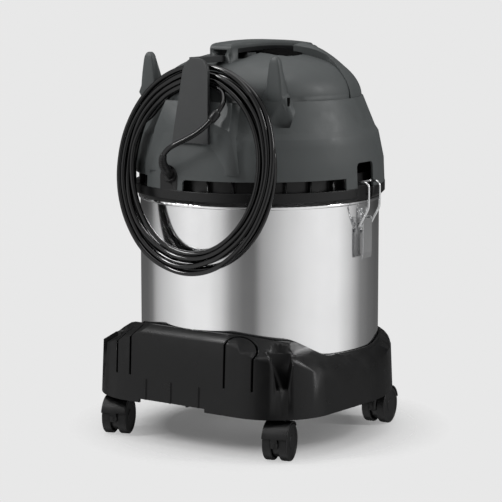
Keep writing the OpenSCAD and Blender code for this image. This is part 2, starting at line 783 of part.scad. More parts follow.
// the handle is swept along a large arc that peaks just behind the tank axis
arc_r = 1000;
arc_y = 22;
nose_y = -129;                                // front end of the strap, in the cowl
nose_r = 20;
heel_r = 8;
function strap_z(y) = handle_top - arc_r + sqrt(arc_r * arc_r - pow(y - arc_y, 2));
module arc_sweep(y0, y1) {
    a0 = asin((y0 - arc_y) / arc_r);
    a1 = asin((y1 - arc_y) / arc_r);
    translate([0, arc_y, handle_top - arc_r]) rotate([0, -90, 0]) rotate([0, 0, a0])
        rotate_extrude(angle = a1 - a0, $fn = 1080) translate([arc_r, 0]) children();
}
// upper strap: crowned, with a round nose in the cowl and a round heel over the post
module handle_strap() {
    side_r = 5;
    half = handle_w / 2;
    intersection() {
        arc_sweep(nose_y - 1, post_y + 1) {
            translate([-200, -half]) square([200 - side_r, 2 * half]);
            translate([-side_r, -half + side_r]) square([side_r, 2 * half - 2 * side_r]);
            for (s = [-1, 1]) translate([-side_r, s * (half - side_r)]) circle(r = side_r, $fn = 32);
        }
        rotate([90, 0, 90]) translate([0, 0, -half - 1]) linear_extrude(handle_w + 2) difference() {
            union() {
                translate([nose_y, trough_z]) square([post_y - nose_y, strap_z(nose_y) - nose_r - trough_z]);
                translate([nose_y + nose_r, trough_z])
                    square([post_y - nose_y - nose_r, strap_z(post_y) - heel_r - trough_z]);
                translate([nose_y + nose_r, strap_z(nose_y) - nose_r]) circle(r = nose_r, $fn = 64);
                translate([nose_y + nose_r, strap_z(nose_y) - nose_r])
                    square([post_y - heel_r - nose_y - nose_r, 40]);
                translate([post_y - heel_r, strap_z(post_y) - heel_r]) circle(r = heel_r, $fn = 48);
            }
            intersection() {
                translate([arc_y, handle_top - arc_r]) circle(r = arc_r - strap_t, $fn = 1440);
                translate([trough_front, trough_z - 1])
                    square([post_y - post_t - trough_front, far]);
            }
        }
    }
}

// saddle that carries the wound cord, behind the dome
saddle_r = 72;
saddle_half_w = 50;
saddle_y = skirt_top_r + 1.5;
saddle_top = skirt_top + 19.5;

// raised panel below the saddle
module rear_panel() {
    foot = ring_top + 0.42 * skirt_h;
    intersection() {
        translate([0, skirt_top_r - 40, 0]) rotate([-90, 0, 0]) linear_extrude(60) polygon([
            [-74, -ring_top - 24], [74, -ring_top - 24], [60, -foot - 24],
            [50, -skirt_top], [-58, -skirt_top], [-64, -foot - 24]]);
        rotate([90, 0, 90]) translate([0, 0, -far / 2]) linear_extrude(far) polygon([
            [0, ring_top + 20], [ring_r - 2.5, ring_top + 24], [ring_r - 7, ring_top + 0.6 * skirt_h],
            [skirt_top_r + 6.5, skirt_top], [0, skirt_top]]);
    }
}

horn_foot = ring_top + 0.72 * skirt_h;
horn_y = 118;                                 // rear face of the horns
horn_t = 15;
module horns() {
    for (side = [-1, 1]) intersection() {
        translate([side * horn_x, horn_y, 0]) rotate([90, 0, 0]) linear_extrude(horn_t + 20) union() {
            polygon([[-16, horn_foot], [17 , horn_foot], [17, skirt_top + 6], [8, skirt_top + horn_rise - 5],
                [-8, skirt_top + horn_rise - 5], [-16, skirt_top + 6]]);
            translate([-3, skirt_top + horn_rise - 5]) circle(r = 5, $fn = 32);
            translate([3, skirt_top + horn_rise - 5]) circle(r = 5, $fn = 32);
            translate([-3, skirt_top + horn_rise - 5]) square([6, 5]);
        }
        rotate([90, 0, 90]) translate([0, 0, -far / 2]) linear_extrude(far) polygon([
            [horn_y - horn_t - 18, horn_foot], [horn_y, horn_foot],
            [horn_y, skirt_top + 20], [horn_y - 3, skirt_top + horn_rise],
            [horn_y - 10, skirt_top + horn_rise], [horn_y - horn_t - 1, skirt_top + 10],
            [horn_y - horn_t - 18, skirt_top - 20]]);
    }
}

cowl_half_w = 62;
module cowl() {
    intersection() {
        rotate_extrude($fn = 128) dome_profile(dome_r + 5, dome_h + 4, skirt_top);
        translate([-cowl_half_w, -far, skirt_top]) cube([2 * cowl_half_w, far - 46, far]);
    }
}

// control panel: a stadium plate sunk in the sloping front
panel_len = 72;
panel_h = 34;
panel_t = 4;
panel_tilt = 52;                              // face angle from level, looking forward
panel_y = -112;
panel_z = skirt_top + 30;
module panel_place() {
    translate([0, panel_y, panel_z]) rotate([panel_tilt, 0, 0]) children();
}
module stadium(length, width, height) {
    for (s = [-1, 1]) translate([s * (length - width) / 2, 0, 0]) cylinder(d = width, h = height);
    translate([-(length - width) / 2, -width / 2, 0]) cube([length - width, width, height]);
}

module head_hood() {
    color("#4c5051") difference() {
        union() {
            rotate_extrude($fn = 128) skirt_profile(0);
            rotate_extrude($fn = 128) dome_profile(dome_r, dome_h, skirt_top);
            rear_panel();
            horns();
            cowl();
            intersection() {
                translate([hook_x, saddle_y, saddle_top - saddle_r]) rotate([90, 0, 0])
                    cylinder(r = saddle_r, h = 40);
                translate([hook_x - saddle_half_w, 60, skirt_top - 8])
                    cube([2 * saddle_half_w, 120, 60]);
            }
            handle_strap();
            panel_place() translate([0, 0, -16]) stadium(panel_len + 8, panel_h + 8, 16);
        }
        // inside of the shell
        difference() {
            union() {
                translate([0, 0, -eps]) rotate_extrude($fn = 128) skirt_profile(hood_wall);
                translate([0, 0, ring_top - 10]) cylinder(r = ring_r - hood_wall - 1, h = 10);
                rotate_extrude($fn = 128)
                    dome_profile(dome_r - hood_wall, dome_h - hood_wall, skirt_top - 8);
            }
            trough(hood_wall);
            for (a = BOSS_ANGLES) at_angle(a) translate([0, boss_r, ring_top])
                cylinder(r = 4.5, h = skirt_h * 0.55);
            panel_place() translate([0, 0, -16]) stadium(panel_len + 8, panel_h + 8, 40);
        }
        difference() {
            trough(0);
            handle_strap();
        }
        // hollow rear end of the strap, above the arm of the cable hook
        intersection() {
            translate([0, post_y + 1, strap_z(post_y) - heel_r + 1]) rotate([90, 0, 0])
                cylinder(r = handle_w / 2 - 6, h = 15);
            translate([-far / 2, 0, 0]) cube([far, far, strap_z(post_y) - heel_r]);
        }
        hook_socket();
        // vents, latch notches, gland tower, screws
        for (v = VENTS) vent_cut(v[0], v[1]);
        for (side = [-1, 1]) on_side(side) translate([0, -vent_wall_r, 0]) rotate([90, 0, 0])
            linear_extrude(60) union() {
                translate([-notch_w / 2, ring_top - 5]) square([notch_w, notch_h - 1]);
                translate([-notch_w / 2 + 6, ring_top]) square([notch_w - 12, notch_h]);
                for (s = [-1, 1]) translate([s * (notch_w / 2 - 6), ring_top + notch_h - 6]) circle(r = 6);
            }
        at_angle(tower_angle) translate([0, ring_r + 10, 0]) rotate([90, 0, 0])
            linear_extrude(ring_r + 10 - well_r + 2) union() {
                translate([0, tower_z]) circle(r = tower_r + 0.2);
                translate([-tower_r - 0.2, ring_top - 5]) square([2 * tower_r + 0.4, tower_z - ring_top + 5]);
            }
        for (a = BOSS_ANGLES) at_angle(a) translate([0, boss_r, ring_top - 1]) cylinder(r = 1.7, h = 26);
        panel_place() {
            translate([0, 0, -panel_t]) stadium(panel_len + 0.2, panel_h + 0.2, 40);
            translate([0, 0, -40]) cylinder(r = knob_stem_r + 3, h = 40);
        }
    }
}

// one vent: a band cut through the skirt with round upper corners
module vent_cut(a0, a1) {
    r = 5;
    difference() {
        translate([0, 0, ring_top - 5]) wedge(a0, a1) difference() {
            cylinder(r = ring_r + 20, h = vent_h + 5);
            translate([0, 0, -1]) cylinder(r = vent_wall_r, h = vent_h + 8);
        }
        for (e = [[a0, 1], [a1, -1]]) at_angle(e[0]) translate([e[1] * 0, 0, vent_top - r])
            rotate([-90, 0, 0]) translate([0, 0, vent_wall_r - 2]) linear_extrude(50) difference() {
                translate([e[1] > 0 ? -1 : -r, -r - 1]) square([r + 1, r + 1]);
                translate([e[1] * r, 0]) circle(r = r, $fn = 32);
            }
    }
}

// the part of the children between two angles less than 180 degrees apart
module wedge(a0, a1) {
    intersection() {
        children();
        rotate([0, 0, 90 - a1]) translate([0, 0, -far]) cube([far, far, 2 * far]);
        rotate([0, 0, 0 - a0]) translate([0, 0, -far]) cube([far, far, 2 * far]);
    }
}

module hood_screws() {
    color("#8c8d8e") for (a = BOSS_ANGLES) at_angle(a) translate([0, boss_r, 0]) {
        translate([0, 0, ring_z + 9]) cylinder(d = 3.2, h = ring_top + 20 - ring_z - 9);
    }
}

// ---------------------------------------------------------------- grip, hook, gland

// dark lower half of the handle, with finger ribs under its front
module handle_grip() {
    front = trough_front + fit_gap;
    rear = post_y - post_t - fit_gap;
    color("#2b2c2d") difference() {
        arc_sweep(front, rear) translate([-strap_t - grip_t, -handle_w / 2])
            square([grip_t - fit_gap, handle_w]);
        for (y = [front + 8 : 7 : front + 64])
            translate([0, y, strap_z(y) - strap_t - grip_t - 0.6]) along_x(handle_w - 8)
                cylinder(r = 2.2, h = handle_w - 8, $fn = 24);
    }
}

hook_tilt = 7.5;                              // the blade leans out towards its foot
hook_y = 158;                                 // outer face of the blade at its round top
hook_top_z = skirt_top + 38;                  // centre of the round top
arm_t = 8;
arm_w = 14;
arm_z = hook_top_z + 12;                      // the wound cord passes under the arm
module hook_socket() {
    translate([-arm_w / 2 - fit_gap, post_y - 8, arm_z - fit_gap])
        cube([arm_w + 2 * fit_gap, 20, arm_t + 2 * fit_gap]);
}
// cable hook: a leaning blade on an arm from the handle post
module cable_hook() {
    color("#3b3e3f") union() {
        translate([hook_x, hook_y, hook_top_z]) rotate([90 + hook_tilt, 0, 0]) linear_extrude(hook_t) union() {
            circle(d = hook_top_w);
            polygon([[-hook_top_w / 2, 0], [hook_top_w / 2, 0],
                [hook_foot_w / 2, -hook_len], [-hook_foot_w / 2, -hook_len]]);
        }
        translate([-arm_w / 2, post_y - 8, arm_z])
            cube([arm_w, hook_y - hook_t - post_y + 8.5, arm_t]);
    }
}

gland_r = 8;
gland_lip = 2.5;
gland_out = 42;                               // tilt of the gland above level
gland_y = ring_r - 3;
gland_z = tower_z + 2;
relief_len = 11;
module gland_axis() {
    at_angle(gland_angle) translate([0, gland_y, gland_z]) rotate([-90 + gland_out, 0, 0]) children();
}
// bushing with a flange and a short ribbed sleeve
module cord_gland() {
    color("#161616") gland_axis() difference() {
        union() {
            translate([0, 0, -12]) cylinder(r = gland_r, h = 13);
            cylinder(r = gland_r + gland_lip, h = 3);
            translate([0, 0, 3]) cylinder(r = cord_d / 2 + 1.5, h = relief_len - 3);
            for (k = [0 : 1]) translate([0, 0, 4.5 + 3.4 * k]) cylinder(r = cord_d / 2 + 2.3, h = 1.6);
        }
        translate([0, 0, -20]) cylinder(r = cord_d / 2 + fit_gap, h = 80);
    }
}

module control_panel() {
    color("#1d1d1e") panel_place() difference() {
        translate([0, 0, -panel_t]) stadium(panel_len, panel_h, panel_t);
        translate([0, 0, -panel_t - 1]) cylinder(r = knob_stem_r + run_gap, h = panel_t + 2);
        difference() {
            translate([0, 0, -1]) cylinder(r = 15.5, h = 2);
            translate([0, 0, -2]) cylinder(r = 13.5, h = 4);
        }
    }
}

// rotary switch with a grip bar
knob_stem_r = 4;
module switch_knob() {
    color("#3c4041") panel_place() {
        translate([0, 0, -panel_t - 6]) cylinder(r = knob_stem_r, h = panel_t + 7);
        translate([0, 0, face_gap]) cylinder(r = 12.5, h = 5);
        translate([-3, -11.5, 4]) cube([6, 23, 7]);
    }
}

// ---------------------------------------------------------------- motor and filter

deck_top = deck_z + deck_t;
mount_t = 4;
fan_z = deck_top + mount_t;
can_z = fan_z + fan_case_h;
module motor_mount() {
    color("#1a1a1a") translate([0, 0, deck_top]) difference() {
        cylinder(r = fan_case_r - 4, h = mount_t);
        translate([0, 0, -1]) cylinder(r = fan_case_r - 16, h = mount_t + 2);
    }
}
case_t = 2.5;
module fan_housing() {
    color("#9fa2a4") translate([0, 0, fan_z]) difference() {
        cylinder(r = fan_case_r, h = fan_case_h);
        translate([0, 0, case_t]) cylinder(r = fan_case_r - case_t, h = fan_case_h - 2 * case_t);
        translate([0, 0, -1]) cylinder(r = eye_r, h = 10);
        translate([0, 0, fan_case_h - 10]) cylinder(r = bearing_r + fit_gap, h = 20);
        for (a = [0 : 30 : 330]) at_angle(a) translate([0, fan_case_r, fan_case_h * 0.62])
            cube([14, 20, 12], center = true);
    }
}
bearing_r = 11;
bearing_h = 7;
module motor_bearings() {
    color("#b0b2b4") for (z = [can_z - case_t, can_z + motor_h - bearing_h]) translate([0, 0, z])
        difference() {
            cylinder(r = bearing_r, h = bearing_h);
            translate([0, 0, -1]) cylinder(r = shaft_d / 2 + run_gap, h = bearing_h + 2);
        }
}
module motor_can() {
    color("#8d9092") translate([0, 0, can_z]) difference() {
        cylinder(r = motor_r, h = motor_h);
        translate([0, 0, 6]) cylinder(r = motor_r - 12, h = motor_h - 12);
        translate([0, 0, -1]) cylinder(r = bearing_r + fit_gap, h = motor_h + 2);
        for (a = [0 : 45 : 315]) at_angle(a) translate([0, motor_r, motor_h - 22])
            cube([12, 40, 10], center = true);
    }
}
module rotor() {
    color("#8a5a3a") union() {
        translate([0, 0, fan_z + 8]) cylinder(d = shaft_d, h = can_z + motor_h + 4 - fan_z - 8);
        translate([0, 0, can_z + 12]) cylinder(r = motor_r - 16, h = motor_h - 34);
        translate([0, 0, can_z + motor_h - 20]) cylinder(r = 12, h = 10);
    }
}
module fan_wheel() {
    r = fan_case_r - case_t - 6;
    color("#cfd1d2") translate([0, 0, fan_z + 10]) difference() {
        union() {
            cylinder(r = r, h = 1.6);
            translate([0, 0, 12]) difference() {
                cylinder(r = r, h = 1.6);
                translate([0, 0, -1]) cylinder(r = eye_r - 4, h = 4);
            }
            cylinder(r = shaft_d / 2 + 5, h = 12);
            for (a = [0 : 40 : 320]) rotate([0, 0, a]) translate([shaft_d / 2 + 4, 0, 0]) rotate([0, 0, 24])
                translate([0, -0.8, 0]) cube([(r - shaft_d / 2 - 5) * 0.97, 1.6, 13]);
        }
        translate([0, 0, -1]) cylinder(r = shaft_d / 2 + fit_gap, h = 20);
    }
}

cage_top = deck_z;
cage_r = float_d / 2 + 8;
cage_h = filter_h + 8;
module filter_cage() {
    color("#2d2e2f") translate([0, 0, cage_top - cage_h]) difference() {
        union() {
            cylinder(r = cage_r, h = cage_h);
            translate([0, 0, cage_h - 3]) cylinder(r = eye_r + 8.5, h = 3);
        }
        translate([0, 0, 3]) cylinder(r = cage_r - 2.5, h = cage_h);
        for (a = [0 : 45 : 315], z = [0 : 2]) at_angle(a)
            translate([-6.5, 0, 14 + z * 31]) cube([13, far, 25]);
        translate([0, 0, -1]) cylinder(r = 3.2, h = 10);
    }
}
// pleated paper ring between two end rings
paper_t = 0.8;
function pleat_points(r0, r1) = [for (i = [0 : pleats - 1], k = [0, 1])
    let (a = 360 * (i + k / 2) / pleats, r = k == 0 ? r0 : r1) [r * cos(a), r * sin(a)]];
module cartridge_filter() {
    foot = cage_top - 5 - filter_h;
    ring = 5;
    inner = cage_r + 2;
    color("#e4e1d6") translate([0, 0, foot]) union() {
        for (z = [0, filter_h - ring]) translate([0, 0, z]) difference() {
            cylinder(r = filter_r, h = ring);
            translate([0, 0, -1]) cylinder(r = inner, h = ring + 2);
        }
        translate([0, 0, ring]) linear_extrude(filter_h - 2 * ring) difference() {
            polygon(pleat_points(filter_r - 2, filter_r - 20));
            polygon(pleat_points(filter_r - 2 - 3 * paper_t, filter_r - 20 - 3 * paper_t));
        }
    }
}
module filter_cap() {
    z = cage_top - cage_h;
    color("#2d2e2f") difference() {
        union() {
            translate([0, 0, z - 4]) cylinder(r = filter_r + 1, h = 4);
            translate([0, 0, z - 16]) cylinder(r = 15, h = 13);
            translate([-26, -3, z - 14]) cube([52, 6, 11]);
            translate([0, 0, z]) cylinder(r = 3.1, h = 10);
        }
    }
}
module float_ball() {
    color("#d8d9d6") translate([0, 0, cage_top - cage_h + 3 + float_d / 2 + 7.5]) sphere(d = float_d);
}

// ---------------------------------------------------------------- mains cord

// route of the free cord, from the gland to the boot on the cord strap
CORD = [[27.8, 175.6, 371.9], [28.5, 180, 376.2], [27.9, 184.7, 381.9], [25.5, 188.8, 388.4],
    [21.1, 191.7, 395.2], [15, 193, 401.5], [7.3, 192.3, 406.9], [-1.2, 190.3, 411.5],
    [-9.9, 187.6, 415.8], [-18.4, 184.8, 420.5], [-26.3, 181.9, 425.8], [-33.5, 178.8, 431.9],
    [-39.8, 175.5, 438.7], [-44.9, 171.5, 446], [-48.7, 167, 453.2], [-50.8, 161.8, 459.8],
    [-51, 156, 465.4]];
cord_sides = 10;

function unit(v) = v / norm(v);
function route_dir(i) = unit(CORD[min(i + 1, len(CORD) - 1)] - CORD[max(i - 1, 0)]);
function cord_ring(i) =
    let (t = route_dir(i), u = unit(cross(t, [0, 0, 1])), v = cross(u, t))
    [for (k = [0 : cord_sides - 1]) CORD[i] + cord_d / 2 * (u * cos(360 * k / cord_sides)
        + v * sin(360 * k / cord_sides))];
module power_cord() {
    n = len(CORD);
    m = cord_sides;
    color("#0f0f10") polyhedron(
        points = [for (i = [0 : n - 1]) each cord_ring(i)],
        faces = concat(
            [[for (k = [0 : m - 1]) k]],
            [for (i = [0 : n - 2], k = [0 : m - 1])
                [i * m + k, (i + 1) * m + k, (i + 1) * m + (k + 1) % m]],
            [for (i = [0 : n - 2], k = [0 : m - 1])
                [i * m + k, (i + 1) * m + (k + 1) % m, i * m + (k + 1) % m]],
            [[for (k = [m - 1 : -1 : 0]) (n - 1) * m + k]]));
}

// outer form of the wound cord: an oval ring that leans out towards its foot
coil_tilt = 8.8;
coil_t = 14;
coil_y = 158.5;
coil_z = 375;
coil_a = 127;                                 // outer half width
coil_b = 138.5;                               // outer half height
coil_w = 26.5;                                  // width of the bundle
function oval(a, b) = [for (k = [0 : 5 : 355]) [a * cos(k), b * sin(k)]];
module coil_frame() {
    translate([hook_x, coil_y, coil_z]) rotate([90 + coil_tilt, 0, 0]) children();
}
module coil_section(grow) {
    difference() {
        polygon(oval(coil_a + grow, coil_b + grow));
        polygon(oval(coil_a - coil_w - grow, coil_b - coil_w - grow));
    }
}
module cord_coil() {
    color("#0f0f10") coil_frame() translate([0, 0, -coil_t / 2]) linear_extrude(coil_t)
        coil_section(0);
}

// rubber strap round the bundle, beside the hook, with a boot for the free cord
strap_wall = 1.2;
STRAP_ANGLES = [95, 114];
module cord_strap() {
    last = CORD[len(CORD) - 1];
    way = unit(last - CORD[len(CORD) - 2]);
    color("#121212") difference() {
        union() {
            coil_frame() intersection() {
                translate([0, 0, -coil_t / 2 - strap_wall]) linear_extrude(coil_t + 2 * strap_wall)
                    coil_section(strap_wall);
                linear_extrude(far, center = true) polygon(concat([[0, 0]],
                    [for (a = STRAP_ANGLES) far * [cos(a), sin(a)]]));
            }
            translate(last) rotate([0, acos(way[2]), atan2(way[1], way[0])])
                cylinder(r1 = cord_d / 2 + 1, r2 = cord_d / 2 + 4.5, h = 15);
        }
        coil_frame() translate([0, 0, -coil_t / 2]) linear_extrude(coil_t) coil_section(0);
    }
}

// plug, hanging behind the wound cord
PLUG = [123, 138.6, 345];
module mains_plug() {
    color("#141414") translate(PLUG) {
        cylinder(d = 24, h = 33);
        translate([0, 0, 33]) cylinder(d1 = 24, d2 = 13, h = 7);
        translate([0, 0, 40]) cylinder(d = cord_d + 3, h = 14);
        for (s = [-1, 1]) translate([s * 6.35 - 0.75, -3.2, -17]) cube([1.5, 6.4, 17]);
        translate([0, 7, -19]) cylinder(d = 4.7, h = 19, $fn = 24);
    }
}

// ---------------------------------------------------------------- output

chassis();
chassis_screws();
caster_stems();
for (i = [0 : 3]) {
    caster_hood(i);
    caster_axle(i);
    wheel(i, -1);
    wheel(i, 1);
}
tank();
inlet_port();
inlet_gasket();
inlet_locknut();
inlet_deflector();
for (s = [["left", 1], ["right", -1]]) {
    latch_base(s[1]);
    latch_lever(s[1]);
    latch_bail(s[1]);
    latch_pin(s[1]);
}
latch_rivets();
head_base();
head_seal();
head_hood();
hood_screws();
handle_grip();
cable_hook();
cord_gland();
control_panel();
switch_knob();
fan_housing();
motor_can();
rotor();
fan_wheel();
motor_bearings();
motor_mount();
filter_cage();
cartridge_filter();
filter_cap();
float_ball();
power_cord();
cord_coil();
cord_strap();
mains_plug();
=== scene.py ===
"""A wet and dry vacuum cleaner with a steel tank, seen from behind: finishes, smooth skins and
the wound mains cord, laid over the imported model."""
import json
import math

import bmesh
import bpy
import numpy as np
from mathutils import Matrix


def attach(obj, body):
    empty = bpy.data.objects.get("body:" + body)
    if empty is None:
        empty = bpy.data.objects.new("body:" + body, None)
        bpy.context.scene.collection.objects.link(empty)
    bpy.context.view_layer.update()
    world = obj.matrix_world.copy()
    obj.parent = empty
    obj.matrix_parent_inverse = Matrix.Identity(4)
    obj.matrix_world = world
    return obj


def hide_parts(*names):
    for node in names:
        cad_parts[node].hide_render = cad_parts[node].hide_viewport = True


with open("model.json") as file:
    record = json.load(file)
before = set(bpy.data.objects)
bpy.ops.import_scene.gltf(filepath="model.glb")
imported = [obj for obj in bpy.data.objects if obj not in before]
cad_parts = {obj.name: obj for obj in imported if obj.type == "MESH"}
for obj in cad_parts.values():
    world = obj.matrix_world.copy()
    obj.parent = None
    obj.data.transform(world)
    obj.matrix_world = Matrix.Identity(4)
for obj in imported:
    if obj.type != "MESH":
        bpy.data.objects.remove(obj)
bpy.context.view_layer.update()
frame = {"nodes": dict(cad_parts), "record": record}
MM = 0.001

# ---------------------------------------------------------------- camera

CAMERA_AZIMUTH = math.radians(214.3)
CAMERA_DISTANCE = 2.781
CAMERA_HEIGHT = 0.666
PITCH = math.radians(8.6)
YAW = math.radians(-0.25)
ROLL = math.radians(-0.05)
FOCAL_SHARE = 2021.6 / 502              # focal length for each unit of frame width
SENSOR_MM = 36.0
NEAREST, FARTHEST = 0.05, 100.0
# level directions of the view, before it is turned: to the right, and away from the camera
RIGHT = np.array([math.cos(CAMERA_AZIMUTH), math.sin(CAMERA_AZIMUTH), 0.0])
AWAY = np.array([-math.sin(CAMERA_AZIMUTH), math.cos(CAMERA_AZIMUTH), 0.0])
UP = np.array([0.0, 0.0, 1.0])


def placed(thing, across, top, back, place):
    """Gives an object its axes and its place, and puts it in the scene."""
    matrix = np.eye(4)
    matrix[:3, 0], matrix[:3, 1], matrix[:3, 2], matrix[:3, 3] = across, top, back, place
    bpy.context.scene.collection.objects.link(thing)
    thing.matrix_world = Matrix(matrix.tolist())


def add_camera():
    """Camera on a circle round the tank axis: level heading turned by the yaw, tipped down by the
    pitch, then rolled about its own line of sight."""
    level = AWAY * math.cos(YAW) + RIGHT * math.sin(YAW)
    right = RIGHT * math.cos(YAW) - AWAY * math.sin(YAW)
    sight = level * math.cos(PITCH) - UP * math.sin(PITCH)
    top = UP * math.cos(PITCH) + level * math.sin(PITCH)
    data = bpy.data.cameras.new("camera")
    data.sensor_width = SENSOR_MM
    data.lens = SENSOR_MM * FOCAL_SHARE
    data.clip_start, data.clip_end = NEAREST, FARTHEST
    camera = bpy.data.objects.new("camera", data)
    placed(camera, right * math.cos(ROLL) + top * math.sin(ROLL),
           top * math.cos(ROLL) - right * math.sin(ROLL), -sight,
           -AWAY * CAMERA_DISTANCE + UP * CAMERA_HEIGHT)
    bpy.context.scene.camera = camera


add_camera()

# ---------------------------------------------------------------- finishes

METAL_EDGE = 0.0004                     # radius that a metal edge seems to have, in metres
METAL_GRAIN, METAL_CLOUD = 0.0012, 0.06
PLASTIC_RELIEF, METAL_RELIEF = 0.6, 0.5
EDGE_SAMPLES = 6


class Graph:
    """Short words for laying out the nodes of a material or of the world."""

    def __init__(self, tree):
        self.tree = tree
        self.place = self.node("ShaderNodeTexCoord")

    def node(self, kind, inputs=(), **settings):
        """A node with its settings, then its inputs, each of them a value or another's output."""
        made = self.tree.nodes.new(kind)
        for key, value in settings.items():
            setattr(made, key, value)
        for key, value in dict(inputs).items():
            self.feed(made.inputs[key], value)
        return made

    def feed(self, socket, value):
        """Links an output to a socket, or sets the socket's own value."""
        if isinstance(value, bpy.types.NodeSocket):
            self.tree.links.new(value, socket)
        else:
            socket.default_value = value

    def reckon(self, operation, first, second):
        """The outcome of one sum."""
        return self.node("ShaderNodeMath", {0: first, 1: second}, operation=operation).outputs[0]

    def mix(self, factor, low, high):
        """A colour between low and high, each of them three numbers or another node's output."""
        low, high = (colour if isinstance(colour, bpy.types.NodeSocket) else (*colour, 1)
                     for colour in (low, high))
        return self.node("ShaderNodeMix", {0: factor, 6: low, 7: high},
                         data_type="RGBA").outputs[2]

    def span(self, value, low, high, source_low=0.3, source_high=0.7):
        """value carried from its source span to low..high."""
        return self.node("ShaderNodeMapRange", {"Value": value, "From Min": source_low,
                                                "From Max": source_high, "To Min": low,
                                                "To Max": high}).outputs[0]

    def noise(self, size, detail, stretch=(1, 1, 1), rough=0.5):
        """Noise whose lumps are about size metres across, stretched along the axes."""
        mapped = self.node("ShaderNodeMapping", {"Vector": self.place.outputs["Object"],
                                                 "Scale": [1 / (size * s) for s in stretch]})
        return self.node("ShaderNodeTexNoise", {"Vector": mapped.outputs[0], "Scale": 1.0,
                                                "Detail": detail, "Roughness": rough}).outputs[0]

    def relief(self, height, strength, depth, edge):
        """Normals of a fine relief, on edges that catch the light as a small radius would."""
        rounded = self.node("ShaderNodeBevel", {"Radius": edge}, samples=EDGE_SAMPLES)
        return self.node("ShaderNodeBump", {"Height": height, "Strength": strength,
                                            "Distance": depth,
                                            "Normal": rounded.outputs[0]}).outputs[0]


def blank(name):
    """A new material, with the graph and the shader that it starts from."""
    material = bpy.data.materials.new(name)
    material.use_nodes = True
    return material, Graph(material.node_tree), material.node_tree.nodes["Principled BSDF"]


def dress(graph, shader, **sockets):
    """Sets or links the shader's sockets, whose names have spaces for the underscores here."""
    for key, value in sockets.items():
        graph.feed(shader.inputs[key.replace("_", " ")], value)


def moulded(name, colour, rough, grain=0.0005, depth=0.00003, edge=0.0007, spread=0.08,
            rough_spread=0.06, cloud=0.05, specular=0.5):
    """Moulded plastic or rubber: a fine spark-eroded grain, and faint clouds in shade and gloss."""
    material, graph, shader = blank(name)
    base = graph.mix(graph.span(graph.noise(cloud, 3.0), 0, 1),
                     [c * (1 - spread) for c in colour], [c * (1 + spread) for c in colour])
    patches = graph.noise(cloud * 0.35, 4.0)
    dress(graph, shader, Base_Color=base, Specular_IOR_Level=specular,
          Roughness=graph.span(patches, rough - rough_spread, rough + rough_spread),
          Normal=graph.relief(graph.noise(grain, 2.0, rough=0.65), PLASTIC_RELIEF, depth,
                              edge))
    return material


def metal(name, colour, rough, streak, edge=METAL_EDGE, rough_spread=0.03, depth=0.000004):
    """Bright metal with a drawn grain: streaks in gloss and a slight ripple along one way."""
    material, graph, shader = blank(name)
    lines = graph.noise(METAL_GRAIN, 3.0, streak)
    clouds = graph.span(graph.noise(METAL_CLOUD, 2.0), 0, 1)
    base = graph.mix(clouds, [c * 0.95 for c in colour], colour)
    dress(graph, shader, Base_Color=base, Metallic=1.0,
          Roughness=graph.span(lines, rough - rough_spread, rough + rough_spread),
          Normal=graph.relief(lines, METAL_RELIEF, depth, edge))
    return material


FINISH = {
    "black_moulding": moulded("black_moulding", (0.0040, 0.0040, 0.0042), 0.32, edge=0.0012,
                              specular=0.30),
    "chassis_moulding": moulded("chassis_moulding", (0.0036, 0.0036, 0.0038), 0.33, edge=0.0015,
                                depth=0.00002, specular=0.23),
    "grey_moulding": moulded("grey_moulding", (0.0575, 0.0628, 0.0632), 0.47, edge=0.0014,
                             spread=0.05, depth=0.00001, specular=0.30),
    "blade_moulding": moulded("blade_moulding", (0.026, 0.0275, 0.028), 0.40, edge=0.0010,
                              specular=0.35),
    "grip_moulding": moulded("grip_moulding", (0.0060, 0.0064, 0.0068), 0.36, edge=0.0010,
                             specular=0.26),
    "knob_moulding": moulded("knob_moulding", (0.045, 0.047, 0.050), 0.38, edge=0.0008),
    "float_moulding": moulded("float_moulding", (0.72, 0.72, 0.70), 0.45),
    "steel_sheet": metal("steel_sheet", (0.80, 0.80, 0.805), 0.115, (1, 1, 80), 0.0003, 0.02,
                         0.000002),
    "latch_steel": metal("latch_steel", (0.78, 0.785, 0.79), 0.17, (1, 1, 30)),
    "zinc_steel": metal("zinc_steel", (0.60, 0.61, 0.62), 0.30, (1, 1, 3), rough_spread=0.06),
    "wheel_tread": moulded("wheel_tread", (0.007, 0.007, 0.0073), 0.42, depth=0.00003,
                           specular=0.30),
    "seal_rubber": moulded("seal_rubber", (0.02, 0.02, 0.02), 0.6),
    "cord_sheath": moulded("cord_sheath", (0.0014, 0.0014, 0.0016), 0.10, grain=0.003,
                           depth=0.000004, edge=0.0002, rough_spread=0.03, cloud=0.02,
                           specular=0.42),
    # painted shade: a near-black, matt finish without gloss for pieces that stand for shadow in
    # gaps and recesses
    "painted_shade_moulding": moulded("painted_shade_moulding", (0.0012, 0.0012, 0.0013), 0.85, edge=0.0004,
                               specular=0.04),
    "plug_moulding": moulded("plug_moulding", (0.005, 0.005, 0.0055), 0.33, specular=0.35),
    "motor_paint": moulded("motor_paint", (0.42, 0.43, 0.44), 0.35),
    "winding_lacquer": moulded("winding_lacquer", (0.35, 0.20, 0.12), 0.35, grain=0.0008),
    "fan_aluminium": metal("fan_aluminium", (0.80, 0.80, 0.80), 0.28, (1, 1, 1)),
    "pleated_paper": moulded("pleated_paper", (0.78, 0.76, 0.70), 0.9, grain=0.0007,
                             depth=0.00008),
}

